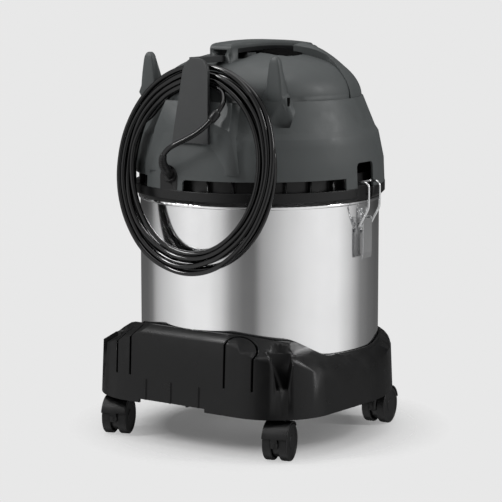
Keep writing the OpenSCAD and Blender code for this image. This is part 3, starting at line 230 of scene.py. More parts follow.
NODE_FINISH = {
    "chassis": "chassis_moulding", "head_base": "black_moulding", "head_hood": "grey_moulding",
    "handle_grip": "grip_moulding", "cable_hook": "blade_moulding", "tank": "steel_sheet",
    "cord_gland": "black_moulding", "control_panel": "black_moulding",
    "switch_knob": "knob_moulding", "inlet_port": "black_moulding",
    "inlet_gasket": "seal_rubber", "inlet_locknut": "black_moulding",
    "inlet_deflector": "black_moulding", "head_seal": "seal_rubber",
    "chassis_screws": "zinc_steel", "hood_screws": "zinc_steel", "latch_rivets": "zinc_steel",
    "caster_stems": "zinc_steel", "motor_mount": "seal_rubber", "fan_housing": "motor_paint",
    "motor_can": "motor_paint", "motor_bearings": "zinc_steel", "rotor": "winding_lacquer",
    "fan_wheel": "fan_aluminium", "filter_cage": "black_moulding",
    "cartridge_filter": "pleated_paper", "filter_cap": "black_moulding",
    "float_ball": "float_moulding", "mains_plug": "plug_moulding", "power_cord": "cord_sheath",
    "cord_coil": "cord_sheath",
}
for side in ("left", "right"):
    NODE_FINISH["latch_base_" + side] = "latch_steel"
    NODE_FINISH["latch_lever_" + side] = "latch_steel"
    NODE_FINISH["latch_bail_" + side] = "latch_steel"
    NODE_FINISH["latch_pin_" + side] = "zinc_steel"
for corner in ("rl", "rr", "fl", "fr"):
    NODE_FINISH["caster_hood_" + corner] = "black_moulding"
    NODE_FINISH["caster_axle_" + corner] = "zinc_steel"
    NODE_FINISH[f"wheel_{corner}_a"] = "wheel_tread"
    NODE_FINISH[f"wheel_{corner}_b"] = "wheel_tread"

BODY_OF = {node: body for body, members in frame["record"]["behaviour"]["bodies"].items()
           for node in members}
CREASE = math.radians(28)
SOFT_EDGE_FROM = math.radians(40)
JOIN_M, MERGE_M = 2e-6, 1e-6            # points nearer than this are one


def wear(piece, finish):
    """Puts one finish on a piece, in place of whatever it had."""
    piece.data.materials.clear()
    piece.data.materials.append(FINISH[finish])


def new_piece(name, mesh, finish, body, *replaced):
    """A piece at the origin with its place in its mesh, on a body, in place of CAD nodes."""
    piece = bpy.data.objects.new(name, mesh)
    bpy.context.scene.collection.objects.link(piece)
    wear(piece, finish)
    if replaced:
        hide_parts(*replaced)
    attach(piece, body)
    return piece


# the hood's skirt by height, with its slope eased across the creases, and the dome over it
SKIRT_TOP = 463.0
SKIRT_Z = (346.0, 378.8, 415.0, 422.6, 463.0)
SKIRT_R = (172.5, 171.0, 163.5, 158.5, 142.0)
SLOPE_Z = (346, 370, 388, 411, 416, 422, 427, 463)
SLOPE = (0.046, 0.046, 0.207, 0.207, 0.66, 0.66, 0.41, 0.41)
DOME = (138.0, 62.0, 2.2)               # radius, height and power
ON_SKIRT_MM, ON_DOME = 0.5, 0.02        # how near a point on either of them lies


def tank_wall(radius, height):
    """Upright everywhere: how much the surface looks up for each unit that it looks out."""
    return np.zeros_like(radius), np.ones_like(radius, bool)


def hood_wall(radius, height):
    """The drafted skirt, whose slope eases across its creases, and the dome over it, a
    superellipse (r/R)^p + (z/H)^p = 1, whose slope is the ratio of its two partial derivatives.
    Says too which points lie on either of them."""
    reach, tall, power = DOME
    up = np.clip(height - SKIRT_TOP, 0.3, tall) / tall
    across = np.clip(radius / reach, 0.02, 1)
    dome = (up ** (power - 1) / tall) / (across ** (power - 1) / reach)
    on_dome = (height > SKIRT_TOP + 0.2) & (np.abs(across ** power + up ** power - 1) < ON_DOME)
    off_skirt = np.abs(np.interp(height, SKIRT_Z, SKIRT_R) - radius)
    on_skirt = (height < SKIRT_TOP + 0.1) & (off_skirt < ON_SKIRT_MM)
    slope = np.where(height > SKIRT_TOP + 0.1, dome, np.interp(height, SLOPE_Z, SLOPE))
    return slope, on_dome | on_skirt


TURNED_WALLS = {"tank": tank_wall, "head_hood": hood_wall}
FACING = 0.985                          # cosine within which a face belongs to its wall


def turned_normals(mesh, wall):
    """Shading normals of a wall turned about the tank axis: straight out from the axis and up by
    the wall's slope, or the reverse inside, wherever a face looks that way, else as they were."""
    corners = len(mesh.loops)
    owner = np.empty(corners, int)
    mesh.loops.foreach_get("vertex_index", owner)
    points = np.empty(len(mesh.vertices) * 3)
    mesh.vertices.foreach_get("co", points)
    points = points.reshape(-1, 3)[owner]
    sizes = np.empty(len(mesh.polygons), int)
    mesh.polygons.foreach_get("loop_total", sizes)
    facing = np.empty(len(mesh.polygons) * 3)
    mesh.polygons.foreach_get("normal", facing)
    facing = np.repeat(facing.reshape(-1, 3), sizes, axis=0)
    normals = np.empty(corners * 3)
    mesh.corner_normals.foreach_get("vector", normals)
    normals = normals.reshape(-1, 3)
    radius = np.hypot(points[:, 0], points[:, 1])
    slope, known = wall(radius / MM, points[:, 2] / MM)
    out = points * [1, 1, 0] / (radius[:, None] + 1e-9)
    out[:, 2] = slope
    out /= np.linalg.norm(out, axis=1)[:, None]
    along = (out * facing).sum(axis=1)
    normals = np.where((known & (along > FACING))[:, None], out, normals)
    normals = np.where((known & (along < -FACING))[:, None], -out, normals)
    mesh.normals_split_custom_set(normals.tolist())


def share_of(value, low, high):
    """How far a value is from low to high, between 0 and 1."""
    return np.clip((value - low) / (high - low), 0, 1)


def eased(share):
    """A share from 0 to 1 that starts and ends gently."""
    return share * share * (3 - 2 * share)


# the solid cord horns: their middle, and the space that holds them
HORN_X = 102.5
HORN_SPAN = (80, 125)
HORN_REAR_Y = 72
HORN_FOOT_Z = 425
# how much of their width is kept, how far they go forward at the foot and down at the tip, and
# the heights between which they begin to
HORN_NARROW = 0.72
HORN_FORWARD, HORN_FORWARD_Z = 28, (462, 442)
HORN_DOWN, HORN_DOWN_Z = 3.5, (490, 520)


def slim_horns(mesh):
    """Draws each cord horn in towards its own middle line, off the hood's turned wall, so that the
    rounded blades stand over it."""
    points = np.empty(len(mesh.vertices) * 3)
    mesh.vertices.foreach_get("co", points)
    x, y, z = points.reshape(-1, 3).T / MM
    outward = np.abs(x)
    on_wall = hood_wall(np.hypot(x, y), z)[1]
    drawn = ((y > HORN_REAR_Y) & (outward > HORN_SPAN[0]) & (outward < HORN_SPAN[1])
             & (z > HORN_FOOT_Z) & ~on_wall)
    middle = np.copysign(HORN_X, x)
    moved = np.stack([middle + (x - middle) * HORN_NARROW,
                      y - HORN_FORWARD * share_of(z, *HORN_FORWARD_Z),
                      z - HORN_DOWN * share_of(z, *HORN_DOWN_Z)], axis=-1) * MM
    points = np.where(drawn[:, None], moved, points.reshape(-1, 3))
    mesh.vertices.foreach_set("co", points.ravel())
    mesh.update()


def smooth_skin(node):
    """The CAD node's own surface with its loose triangles joined: curved walls shade smoothly and
    edges sharper than the crease angle stay crisp."""
    joined = bmesh.new()
    joined.from_mesh(frame["nodes"][node].data)
    bmesh.ops.remove_doubles(joined, verts=joined.verts, dist=JOIN_M)
    bmesh.ops.dissolve_degenerate(joined, edges=joined.edges, dist=MERGE_M)
    mesh = bpy.data.meshes.new(node + "_skin")
    joined.to_mesh(mesh)
    joined.free()
    mesh.shade_smooth()
    mesh.set_sharp_from_angle(angle=CREASE)
    if node == "head_hood":
        slim_horns(mesh)
    if node in TURNED_WALLS:
        turned_normals(mesh, TURNED_WALLS[node])
    piece = new_piece(node + "_skin", mesh, NODE_FINISH[node], BODY_OF[node], node)
    if node not in TURNED_WALLS:
        weighted = piece.modifiers.new("even_shading", "WEIGHTED_NORMAL")
        weighted.keep_sharp = True
        weighted.weight = 50


# ---------------------------------------------------------------- new surfaces


def closed_mesh(name, points, faces):
    """A mesh in metres from points in millimetres, its doubles merged and its faces turned out."""
    mesh = bpy.data.meshes.new(name)
    mesh.from_pydata((np.asarray(points) * MM).tolist(), [], faces)
    made = bmesh.new()
    made.from_mesh(mesh)
    bmesh.ops.remove_doubles(made, verts=made.verts, dist=MERGE_M)
    bmesh.ops.recalc_face_normals(made, faces=made.faces)
    made.to_mesh(mesh)
    made.free()
    mesh.shade_smooth()
    return mesh


def added(name, mesh, finish, bevel=0.0):
    """A piece of the head that stands for no CAD node and softened edges."""
    piece = new_piece(name, mesh, finish, "head")
    if bevel:
        soft = piece.modifiers.new("soft_edges", "BEVEL")
        soft.width = bevel * MM
        soft.segments = 3
        soft.limit_method = "ANGLE"
        soft.angle_limit = SOFT_EDGE_FROM
        soft.harden_normals = True


def lofted(name, centre, wide, tall, power, around):
    """Closed tube of superellipse sections. Section i at angle t is centre_i + wide_i c + tall_i s,
    with c = sign(cos t)|cos t|^(2/power) and s likewise from sin t. Each end is one flat face."""
    t = np.linspace(0, 2 * math.pi, around, endpoint=False)
    c = np.sign(np.cos(t)) * np.abs(np.cos(t)) ** (2 / power)
    s = np.sign(np.sin(t)) * np.abs(np.sin(t)) ** (2 / power)
    points = (np.asarray(centre, float)[:, None] + np.asarray(wide, float)[:, None] * c[:, None]
              + np.asarray(tall, float)[:, None] * s[:, None])
    rows, columns = np.arange(len(centre) - 1)[:, None], np.arange(around)[None]
    after = (columns + 1) % around
    faces = np.stack([rows * around + columns, rows * around + after,
                      (rows + 1) * around + after, (rows + 1) * around + columns], axis=-1)
    first = list(range(around))[::-1]
    last = list(range((len(centre) - 1) * around, len(centre) * around))
    return closed_mesh(name, points.reshape(-1, 3),
                       faces.reshape(-1, 4).tolist() + [first, last])


def slab(name, top, bottom):
    """Closed plate between two grids of points of the same shape."""
    rows, columns = top.shape[:2]
    index = np.arange(rows * columns).reshape(rows, columns)
    lower = index + rows * columns

    def quads(grid):
        return np.stack([grid[:-1, :-1], grid[:-1, 1:], grid[1:, 1:], grid[1:, :-1]],
                        axis=-1).reshape(-1, 4)

    walls = [np.stack([a[:-1], a[1:], b[1:], b[:-1]], axis=-1)
             for a, b in ((index[0], lower[0]), (lower[-1], index[-1]),
                          (lower[:, 0], index[:, 0]), (index[:, -1], lower[:, -1]))]
    faces = np.vstack([quads(index), quads(lower)[:, ::-1], *walls])
    return closed_mesh(name, np.vstack([top.reshape(-1, 3), bottom.reshape(-1, 3)]),
                       faces.tolist())


def raised(radius, reach, height, power):
    """Height of a superellipse dome over the skirt: H (1 - (r/R)^p)^(1/p)."""
    return SKIRT_TOP + height * (1 - np.clip(radius / reach, 0, 1) ** power) ** (1 / power)


def sided(name, side):
    """The name of the piece on the left, where x is positive, or on the right."""
    return name + ("_left" if side > 0 else "_right")


# ---------------------------------------------------------------- mains cord

CORD_D = 7.0
COIL = np.array([-5.0, 158.5, 375.0])   # middle of the wound oval
COIL_TILT = math.radians(98.8)
HALF_BUNDLE = 13.25
COIL_A = 127 - HALF_BUNDLE              # half width and half height of the bundle's middle line
COIL_B = 138.5 - HALF_BUNDLE
INWARD = np.array([0.0, -math.sin(COIL_TILT), math.cos(COIL_TILT)])
STEP = 5.0                              # between points along the cord
# the rising cord, from the gland up to the wound turns
ROUTE = np.array([
    [27.8, 175.6, 371.9], [28.5, 180, 376.2], [27.9, 184.7, 381.9], [25.5, 188.8, 388.4],
    [21.1, 191.7, 395.2], [15, 193, 401.5], [7.3, 192.3, 406.9], [-1.2, 190.3, 411.5],
    [-9.9, 187.6, 415.8], [-18.4, 184.8, 420.5], [-26.3, 181.9, 425.8], [-33.5, 178.8, 431.9],
    [-39.8, 175.5, 438.7], [-44.9, 171.5, 446], [-48.7, 167, 453.2], [-50.8, 161.8, 459.8],
    [-51, 156, 465.4]])
PLUG_TOP = np.array([123.0, 138.6, 345.0 + 54.0])
TURNS = 7
START_ANGLE = math.radians(84)
END_ANGLE = math.radians(38)
# place of each turn in the bundle: out from the middle line, back towards the tank
LAYERS = np.array([[-10.4, -3.5], [-3.5, -3.5], [3.5, -3.5], [10.4, -3.5], [10.4, 3.5],
                   [3.5, 3.5], [-3.5, 3.5], [-10.4, 3.5]])
TURN_POINTS, LAST_POINTS = 60, 14
STAY = 0.62                             # share of a turn before it drifts to its next place
# how the turns sway: size, and how much the wave shifts from turn to turn
SWAY_OUT, SWAY_BACK, SWAY_SHIFT = 3.2, 1.5, 1.7
RIPPLE, RIPPLE_SHIFT = 1.1, 2.1
# how the strands are pushed apart: sweeps in all and with little stiffness at the end, sweeps
# between two searches for near strands, and points along the cord that don't count as near
SWEEPS, LOOSE_SWEEPS, LOOK_AGAIN, OWN_POINTS = 150, 40, 15, 8
AIR = 0.25                              # left between two strands
PUSH, STIFF, LOOSE, FLATTEN = 0.3, 0.3, 0.03, 0.35
KEEP, KEEP_ROUTE = 0.01, 0.2            # pull back to the start, and more of it before the turns
DEEPEST = 3.7                           # reach of a strand from the bundle's middle plane


def coil_point(angle, out, back):
    """Point on the tilted oval at an angle, out from its middle line and back towards the tank."""
    x = COIL_A * np.cos(angle)
    y = COIL_B * np.sin(angle)
    nx, ny = COIL_B * np.cos(angle), COIL_A * np.sin(angle)
    length = np.hypot(nx, ny)
    x, y = x + out * nx / length, y + out * ny / length
    return np.stack([COIL[0] + x,
                     COIL[1] + y * math.cos(COIL_TILT) - back * math.sin(COIL_TILT),
                     COIL[2] + y * math.sin(COIL_TILT) + back * math.cos(COIL_TILT)], axis=-1)


def cubic(t, start, start_way, end, end_way):
    """Hermite cubic: (2t^3-3t^2+1) start + (t^3-2t^2+t) way + (3t^2-2t^3) end + (t^3-t^2) way."""
    return ((2 * t**3 - 3 * t**2 + 1) * start + (t**3 - 2 * t**2 + t) * start_way
            + (-2 * t**3 + 3 * t**2) * end + (t**3 - t**2) * end_way)


def run_along(line):
    """Distance along a line at each of its points."""
    return np.concatenate([[0], np.cumsum(np.linalg.norm(np.diff(line, axis=0), axis=1))])


def spots(line, distances):
    """Points of a line at distances along it."""
    run = run_along(line)
    return np.stack([np.interp(distances, run, line[:, axis]) for axis in range(3)], axis=1)


def smooth_line(points):
    """A line through the points, a cubic between each two with the slope of their neighbours,
    then in even steps along its length."""
    before = np.vstack([2 * points[:1] - points[1:2], points[:-1]])
    after = np.vstack([points[1:], 2 * points[-1:] - points[-2:-1]])
    slope = (after - before) / 2
    t = np.linspace(0, 1, 9)[:-1, None, None]
    line = cubic(t, points[:-1], slope[:-1], points[1:], slope[1:])
    line = np.vstack([line.transpose(1, 0, 2).reshape(-1, 3), points[-1:]])
    length = run_along(line)[-1]
    return spots(line, np.linspace(0, length, int(round(length / STEP)) + 1))


def unit(way):
    """A way as long as 1."""
    return way / np.linalg.norm(way)


def bridge(start, start_way, end, end_way, pull):
    """Seven points of a cubic that leaves and arrives along the given ways, its ends left out."""
    t = np.linspace(0, 1, 9)[1:-1, None]
    return cubic(t, start, start_way * pull, end, end_way * pull)


def wound_turns():
    """The turns on the tilted oval. Each keeps its place in the bundle for most of its way round,
    then drifts to the next, and sways in and out by sines of its angle."""
    turned = np.linspace(0, TURNS * 2 * math.pi + START_ANGLE - END_ANGLE,
                         TURNS * TURN_POINTS + LAST_POINTS)
    angle = START_ANGLE - turned
    turn = turned / (2 * math.pi)
    index = np.clip(turn + 0.06 * np.sin(3.1 * turn + 0.5), 0, TURNS + 0.999)
    low = np.floor(index).astype(int)
    drift = eased(share_of(index - low, STAY, 1))[:, None]
    place = LAYERS[low] * (1 - drift) + LAYERS[np.minimum(low + 1, len(LAYERS) - 1)] * drift
    sway = np.sin(2 * angle + SWAY_SHIFT * low)
    ripple = np.sin(3 * angle + RIPPLE_SHIFT * low)
    return coil_point(angle, place[:, 0] + SWAY_OUT * sway + RIPPLE * ripple,
                      place[:, 1] + SWAY_BACK * sway)


def cord_line():
    """The whole mains lead: up from the gland, round the hook seven times and down to the plug.
    Its strands are then pushed apart until none are nearer than their own thickness, while each
    point is drawn to the middle of its neighbours and back to where it began."""
    wound = wound_turns()
    entry_pull = 1.45 * np.linalg.norm(wound[0] - ROUTE[-1])
    entry = bridge(ROUTE[-1], unit(ROUTE[-1] - ROUTE[-2]), wound[0], unit(wound[1] - wound[0]),
                   entry_pull)
    tail = bridge(wound[-1], unit(wound[-1] - wound[-2]), PLUG_TOP, -UP,
                  np.linalg.norm(PLUG_TOP - wound[-1]))
    line = smooth_line(np.vstack([ROUTE, entry, wound, tail, PLUG_TOP[None]]))
    start = line.copy()
    order = np.arange(len(line))
    route_end = int(len(ROUTE) * 1.8)
    pinned = ((np.linalg.norm(line - ROUTE[0], axis=1) < 12)
              | (np.linalg.norm(line - PLUG_TOP, axis=1) < 8))
    free = 1.0 - pinned[:, None]
    hold = KEEP + KEEP_ROUTE * share_of(route_end - order, 0, 12)[:, None]
    in_coil = ((order > route_end + 8) & (order < len(line) - 20)).astype(float)
    for sweep in range(SWEEPS):
        if sweep % LOOK_AGAIN == 0:
            gap = np.linalg.norm(line[:, None, :] - line[None, :, :], axis=2)
            later = order[None, :] - order[:, None] > OWN_POINTS
            one, two = np.nonzero((gap < 2 * CORD_D) & later)
        between = line[one] - line[two]
        gap = np.linalg.norm(between, axis=1) + 1e-9
        push = between / gap[:, None] * np.clip(CORD_D + AIR - gap, 0, None)[:, None] * PUSH
        moved = np.zeros_like(line)
        np.add.at(moved, one, push)
        np.add.at(moved, two, -push)
        stiff = STIFF if sweep < SWEEPS - LOOSE_SWEEPS else LOOSE
        moved[1:-1] += stiff * ((line[:-2] + line[2:]) / 2 - line[1:-1])
        moved += hold * (start - line)
        depth = (line - COIL) @ INWARD
        excess = (depth - np.clip(depth, -DEEPEST, DEEPEST)) * in_coil
        line = line + free * (moved - FLATTEN * excess[:, None] * INWARD)
    return smooth_line(line)


def sleeve(name, line, start, reach, radius):
    """Round sleeve on the cord: circles square to the line, from one distance along it, with a
    radius for each share of the reach."""
    centre = spots(line, start + np.linspace(0, reach, len(radius)))
    way = np.gradient(centre, axis=0)
    way /= np.linalg.norm(way, axis=1)[:, None]
    first = np.cross(way, [1.0, 0.2, 0.1])
    first /= np.linalg.norm(first, axis=1)[:, None]
    radius = radius[:, None]
    return lofted(name, centre, first * radius, np.cross(way, first) * radius, 2.0, 32)


RELIEF_FROM, RELIEF_REACH, RELIEF_R, RELIEF_TAPER = 1.0, 30.0, 6.4, 2.3
GROOVES, GROOVE_DEPTH = 9, 0.45
CLIP_FROM, CLIP_REACH, CLIP_R, CLIP_BULGE = 112.0, 15.0, 3.4, 2.6


def add_relief(line):
    """Tapered sleeve of soft rubber where the cord leaves its gland, with rings of grooves that
    are a cosine along it."""
    share = np.linspace(0, 1, 61)
    groove = np.where((share > 0.12) & (share < 0.9),
                      GROOVE_DEPTH * np.cos(share * 2 * math.pi * GROOVES), 0)
    radius = RELIEF_R - RELIEF_TAPER * share + groove
    radius[-2:] = 4.0, 3.4
    mesh = sleeve("strain_relief", line, RELIEF_FROM, RELIEF_REACH, radius)
    piece = new_piece("strain_relief", mesh, "plug_moulding", "head")
    return piece


def add_clip(line):
    """Small rubber clip that holds the rising cord to the wound turns, bulged along its length as
    a superellipse."""
    share = np.linspace(0, 1, 15)
    radius = CLIP_R + CLIP_BULGE * np.sqrt(np.clip(1 - (2 * share - 1) ** 4, 0, 1))
    mesh = sleeve("cord_clip", line, CLIP_FROM, CLIP_REACH, radius)
    return new_piece("cord_clip", mesh, "plug_moulding", "head", "cord_strap")


def add_cord():
    """The lead as a round curve along its line, with the pieces that belong to it."""
    line = cord_line()
    turns = line * MM
    curve = bpy.data.curves.new("mains_cord", "CURVE")
    curve.dimensions = "3D"
    spline = curve.splines.new("POLY")
    spline.points.add(len(turns) - 1)
    spline.points.foreach_set("co", np.column_stack([turns, np.ones(len(turns))]).ravel())
    spline.use_smooth = True
    curve.bevel_depth = CORD_D / 2 * MM
    curve.bevel_resolution = 3
    curve.use_fill_caps = True
    piece = bpy.data.objects.new("mains_cord", curve)
    bpy.context.scene.collection.objects.link(piece)
    wear(piece, "cord_sheath")
    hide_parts("power_cord", "cord_coil")
    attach(piece, "head")
    add_clip(line)
    add_relief(line)


add_cord()

# ---------------------------------------------------------------- skins over the CAD surfaces

KEPT_SHAPES = ("power_cord", "cord_coil", "mains_plug", "cord_gland")
for node_name, node_object in frame["nodes"].items():
    if node_name in KEPT_SHAPES:
        wear(node_object, NODE_FINISH[node_name])
    elif node_name != "cord_strap":     # the cord's clip stands for it
        smooth_skin(node_name)

# ---------------------------------------------------------------- hood details

# domes of the cowl and of the solid cowl in its middle: radius, height and power
COWL_DOME = (140, 74, 1.9)
SOLID_COWL_DOME = (143, 66, 2.2)
PROUD = 0.3                             # how far the cowl stands over the solid one
COWL_EYE = 49.6                         # radius of the innermost circle
COWL_WALL, COWL_LOWEST = 12, SKIRT_TOP - 4
COWL_EDGE = 2.5
# how far the rear rim lies before the axis by x, how near the middle the cover reaches by radius,
# and how much its shoulders rise by radius
RIM = (46, 62, 75, 92, 107, 125, 140), (10, 14, 20, 27, 25, 16, 12)
INNER = (49.6, 66, 74, 82, 94), (48, 48, 26, 26, 48)
SHOULDER = (50, 60, 76, 88, 99, 116), (3, 6, 6, 4.8, 3, 0)
SHOULDER_FROM_TO = 8, 28                # before the axis, where the shoulders begin to rise
MIDDLE_X, MIDDLE_EASE = 82, 18


def add_cowl(side):
    """Raised front cover of the dome on one side of the handle: height is a superellipse dome a
    little larger than the hood's, on a grid of circles about the axis that run from the cover's
    rear rim to the handle, and never lower than the solid cowl in the middle."""
    lift = np.sin(np.linspace(0, 1, 30) * math.pi / 2)[:, None]
    radius = COWL_EYE + (COWL_DOME[0] - COWL_EYE) * lift
    rear = np.full_like(radius, 0.2)
    for _ in range(6):                  # settles where the circle meets the rim
        edge = np.interp(radius * np.cos(rear), *RIM)
        rear = np.arcsin(np.clip(edge / radius, 0, 1))
    front = np.arccos(np.clip(np.interp(radius, *INNER) / radius, 0, 1))
    turn = rear + (front - rear) * np.linspace(0, 1, 40)[None]
    x, y = radius * np.cos(turn), -radius * np.sin(turn)
    height = raised(radius + 0 * turn, *COWL_DOME)
    height += np.interp(radius, *SHOULDER) * share_of(-y, *SHOULDER_FROM_TO)
    middle = raised(radius + 0 * turn, *SOLID_COWL_DOME) + PROUD
    near = eased(share_of(MIDDLE_X - x, 0, MIDDLE_EASE))
    height = height + near * np.clip(middle - height, 0, None)
    top = np.stack([side * x, y, height], axis=-1)
    bottom = np.stack([side * x, y, np.maximum(height - COWL_WALL, COWL_LOWEST)], axis=-1)
    name = sided("cowl", side)
    added(name, slab(name, top, bottom), "grey_moulding", COWL_EDGE)


# the horn's sections: their heights, and by height the middle, half width, rear face, half depth
HORN_Z = np.array([438, 444, 450, 456, 461, 466, 472, 480, 488, 496, 503, 509, 514, 518, 520.8,
                   522.6, 523.6])
HORN_MIDDLE = (436, 468, 495, 524), (101.5, 102.5, 102.4, 102.2)
HORN_WIDE = (438, 452, 468, 486, 497, 512, 520), (12.4, 13.6, 13.9, 12.0, 10.7, 8.2, 6.9)
HORN_REAR = (438, 444, 450, 456, 461, 470, 524), (88, 98, 106.5, 113, 117, 119.4, 118.4)
HORN_DEEP = (436, 468, 490, 512), (11, 8.2, 6.4, 5.2)
HORN_TIP_Z, HORN_TIP = 515, 9.0         # where the round tip begins, and its height
# the near-black sliver painted as the shadow where each horn's foot meets the skirt: its heights,
# and by height its middle and rear face
FOOT_SHADE_Z = np.linspace(447, 470, 9)
FOOT_SHADE_MIDDLE = (447, 470), (114.6, 116.2)
FOOT_SHADE_REAR = (447, 458), (98, 105)
FOOT_SHADE_HALF = 1.6, 3.4                    # half width and half depth


def column(name, x, y, z, wide, deep, power, around):
    """Upright loft from the place, half width and half depth of its sections."""
    none = np.zeros_like(z)
    return lofted(name, np.stack([x, y, z], axis=-1), np.stack([wide, none, none], axis=-1),
                  np.stack([none, deep, none], axis=-1), power, around)


def add_horn(side):
    """Rounded blade that keeps the cord on the machine: superellipse sections up its height, each
    with its own middle, width and thickness, closing to a round tip. A near-black sliver beside
    its foot is painted shade, for the shadow where the horn meets the skirt."""
    deep = np.interp(HORN_Z, *HORN_DEEP)
    up_tip = np.clip(HORN_Z - HORN_TIP_Z, 0, None) / HORN_TIP
    shrink = np.sqrt(np.clip(1 - up_tip ** 2, 0.01, 1))
    name = sided("horn", side)
    blade = column(name, side * np.interp(HORN_Z, *HORN_MIDDLE),
                   np.interp(HORN_Z, *HORN_REAR) - deep, HORN_Z,
                   np.interp(HORN_Z, *HORN_WIDE) * shrink, deep * (0.3 + 0.7 * shrink), 4.5, 64)
    added(name, blade, "grey_moulding")
    # a near-black sliver of painted shade at the horn's foot, for the shadow where it meets the
    # skirt
    name = sided("horn_foot_shade", side)
    half_wide, half_deep = (np.full(len(FOOT_SHADE_Z), half) for half in FOOT_SHADE_HALF)
    foot_shade = column(name, side * np.interp(FOOT_SHADE_Z, *FOOT_SHADE_MIDDLE), np.interp(FOOT_SHADE_Z, *FOOT_SHADE_REAR),
                  FOOT_SHADE_Z, half_wide, half_deep, 6.0, 40)
    added(name, foot_shade, "painted_shade_moulding")


# the near-black plate painted as the shade in the recess beside the grip: its span along the
# machine, its inner edge and, along it, its outer edge
RECESS_FROM, RECESS_TO = -40, 34
RECESS_INNER = 17
RECESS_OUTER = (-40, -28, -8, 12, 26, 34), (34, 52, 64, 66, 62, 50)
RIB_PITCH, RIB_HEIGHT = 9.25, 1.3
RECESS_PROUD, RECESS_PLATE = 0.6, 4.0


def add_vent(side):
    """Near-black plate on the dome beside the grip, painted as the shade in the recess there: it
    follows the dome and has ribs whose height is the upper half of a cosine along it."""
    y = np.linspace(RECESS_FROM, RECESS_TO, 112)[:, None]
    outer = np.interp(y, *RECESS_OUTER)
    x = RECESS_INNER + (outer - RECESS_INNER) * np.linspace(0, 1, 24)[None]
    y = y + 0 * x
    wave = np.cos((y - RECESS_FROM) * 2 * math.pi / RIB_PITCH)
    rib = RECESS_PROUD + RIB_HEIGHT * np.clip(wave, 0, 1)
    top = np.stack([side * x, y, raised(np.hypot(x, y), *DOME) + rib], axis=-1)
    name = sided("vent", side)
    # the plate's near-black finish is painted shade for the shadowed recess under the grip
    added(name, slab(name, top, top - RECESS_PLATE * UP), "painted_shade_moulding")


for side in (-1, 1):
    add_cowl(side)
    add_horn(side)
    add_vent(side)

# ---------------------------------------------------------------- studio

BACKGROUND = 0.807
AMBIENT = 0.42
OVERHEAD_PANEL = 0.55
PANELS_END = 0.35, 0.75                 # height of a direction where the panels fade overhead
FLOOR_SEEN, FLOOR_GLOW = 0.58, 0.105    # the floor's shade and glow as the camera sees them
FLOOR_SHADE = 0.80                      # and its shade for all other rays
FLOOR_R = 3.0
# distances from the axis between which the floor fades, for the camera and for all other rays
FLOOR_SEEN_TO, FLOOR_LIES_TO = (0.13, 0.27), (1.1, 2.4)
GLOSS_SEES_THROUGH = 0.92
LAMPS_LOOK_AT = np.array([0, 0, 0.35])
# what polished steel sees round the studio: angle from the camera's bearing, brightness
PANELS = [(-180, 0.05), (-138, 0.06), (-127, 0.12), (-118, 0.42), (-104, 0.62), (-72, 0.98),
          (-50, 0.96), (-38, 0.72), (-27, 0.26), (-16, 0.12), (-5, 0.11), (2, 0.36), (10, 0.47),
          (25, 0.70), (42, 0.87), (60, 0.98), (80, 0.96), (96, 0.62), (112, 0.19), (130, 0.09),
          (148, 0.05), (180, 0.05)]


def grey(level):
    """A grey as three equal numbers."""
    return (level, level, level)


def add_world():
    """Plain pale surroundings. Gloss sees panels and dark flags by their bearing round the object,
    fading overhead to one large soft panel."""
    world = bpy.data.worlds.new("studio")
    world.use_nodes = True
    bpy.context.scene.world = world
    world.node_tree.nodes.clear()
    g = Graph(world.node_tree)
    way = g.node("ShaderNodeSeparateXYZ", {0: g.place.outputs["Generated"]}).outputs
    bearing = g.reckon("ARCTAN2", way["Y"], way["X"])
    to_camera = math.atan2(-math.cos(CAMERA_AZIMUTH), math.sin(CAMERA_AZIMUTH))
    turned = g.reckon("SUBTRACT", bearing, to_camera - math.pi)
    share = g.reckon("DIVIDE", turned, 2 * math.pi)
    wrapped = g.node("ShaderNodeMath", {0: share}, operation="FRACT").outputs[0]
    ramp = g.node("ShaderNodeValToRGB", {0: wrapped})
    stops = ramp.color_ramp.elements
    while len(stops) > 1:
        stops.remove(stops[-1])
    for number, (degrees, level) in enumerate(PANELS):
        stop = stops[0] if number == 0 else stops.new((degrees + 180) / 360)
        stop.position = (degrees + 180) / 360
        stop.color = (*grey(level), 1)
    overhead = g.span(way["Z"], 0, 1, *PANELS_END)
    above = g.mix(overhead, ramp.outputs[0], grey(OVERHEAD_PANEL))
    rays = g.node("ShaderNodeLightPath").outputs
    light = g.mix(rays["Is Glossy Ray"], grey(AMBIENT), above)
    seen = g.reckon("MAXIMUM", rays["Is Camera Ray"], rays["Is Transmission Ray"])
    background = g.node("ShaderNodeBackground", {"Color": g.mix(seen, light, grey(BACKGROUND))})
    g.node("ShaderNodeOutputWorld", {0: background.outputs[0]})


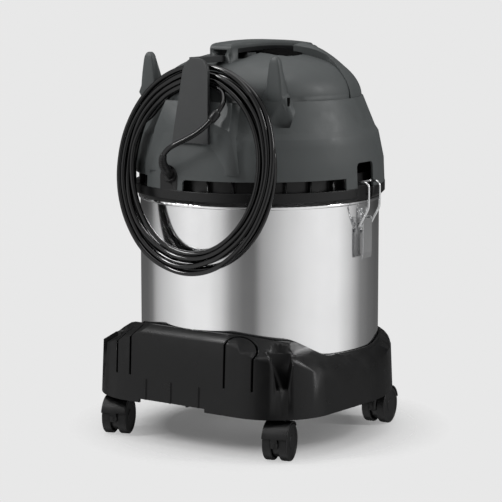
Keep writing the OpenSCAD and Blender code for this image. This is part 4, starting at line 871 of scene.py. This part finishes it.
def add_lamp(name, right, away, up, wide, tall, power):
    """A soft lamp aimed at the object, placed to the right of the tank axis, away from the camera
    and up from the floor."""
    data = bpy.data.lights.new(name, "AREA")
    data.shape = "RECTANGLE"
    data.size, data.size_y = wide, tall
    data.energy = power
    place = right * RIGHT + away * AWAY + up * UP
    back = unit(place - LAMPS_LOOK_AT)
    across = unit(np.cross(UP, back))
    placed(bpy.data.objects.new(name, data), across, np.cross(back, across), back, place)


def add_floor():
    """A pale disc that fades into the background, close round the object as the camera sees it.
    Gloss looks through most of it, so that the steel shows the studio's panels down to its foot."""
    bearing = np.linspace(0, 2 * math.pi, 96, endpoint=False)
    corners = FLOOR_R * np.stack([np.cos(bearing), np.sin(bearing), 0 * bearing], axis=-1)
    mesh = bpy.data.meshes.new("floor")
    mesh.from_pydata(corners.tolist(), [], [list(range(len(corners)))])
    floor = bpy.data.objects.new("floor", mesh)
    bpy.context.scene.collection.objects.link(floor)
    material, g, shader = blank("floor_paper")
    rays = g.node("ShaderNodeLightPath").outputs
    dress(g, shader, Roughness=0.9, Specular_IOR_Level=0.1, Emission_Color=(1, 1, 1, 1),
          Base_Color=g.mix(rays["Is Camera Ray"], grey(FLOOR_SHADE), grey(FLOOR_SEEN)),
          Emission_Strength=g.reckon("MULTIPLY", rays["Is Camera Ray"], FLOOR_GLOW))
    distance = g.node("ShaderNodeVectorMath", {0: g.place.outputs["Object"]},
                      operation="LENGTH").outputs["Value"]
    seen = g.reckon("MULTIPLY", g.span(distance, 0, 1, *FLOOR_SEEN_TO), rays["Is Camera Ray"])
    gloss = g.reckon("MULTIPLY", rays["Is Glossy Ray"], GLOSS_SEES_THROUGH)
    through = g.reckon("MAXIMUM", g.span(distance, 0, 1, *FLOOR_LIES_TO),
                       g.reckon("MAXIMUM", seen, gloss))
    clear = g.node("ShaderNodeBsdfTransparent")
    blend = g.node("ShaderNodeMixShader", {0: through, 1: shader.outputs[0],
                                           2: clear.outputs[0]})
    g.feed(g.tree.nodes["Material Output"].inputs[0], blend.outputs[0])
    floor.data.materials.append(material)


add_world()
add_floor()
add_lamp("left_strip", -2.2, -0.8, 2.2, 0.3, 1.5, 46)
add_lamp("right_strip", 2.5, -0.4, 1.9, 0.4, 1.6, 35)
add_lamp("overhead", -0.1, 0.1, 3.1, 2.2, 2.2, 34)
bpy.context.scene.view_settings.view_transform = "Standard"
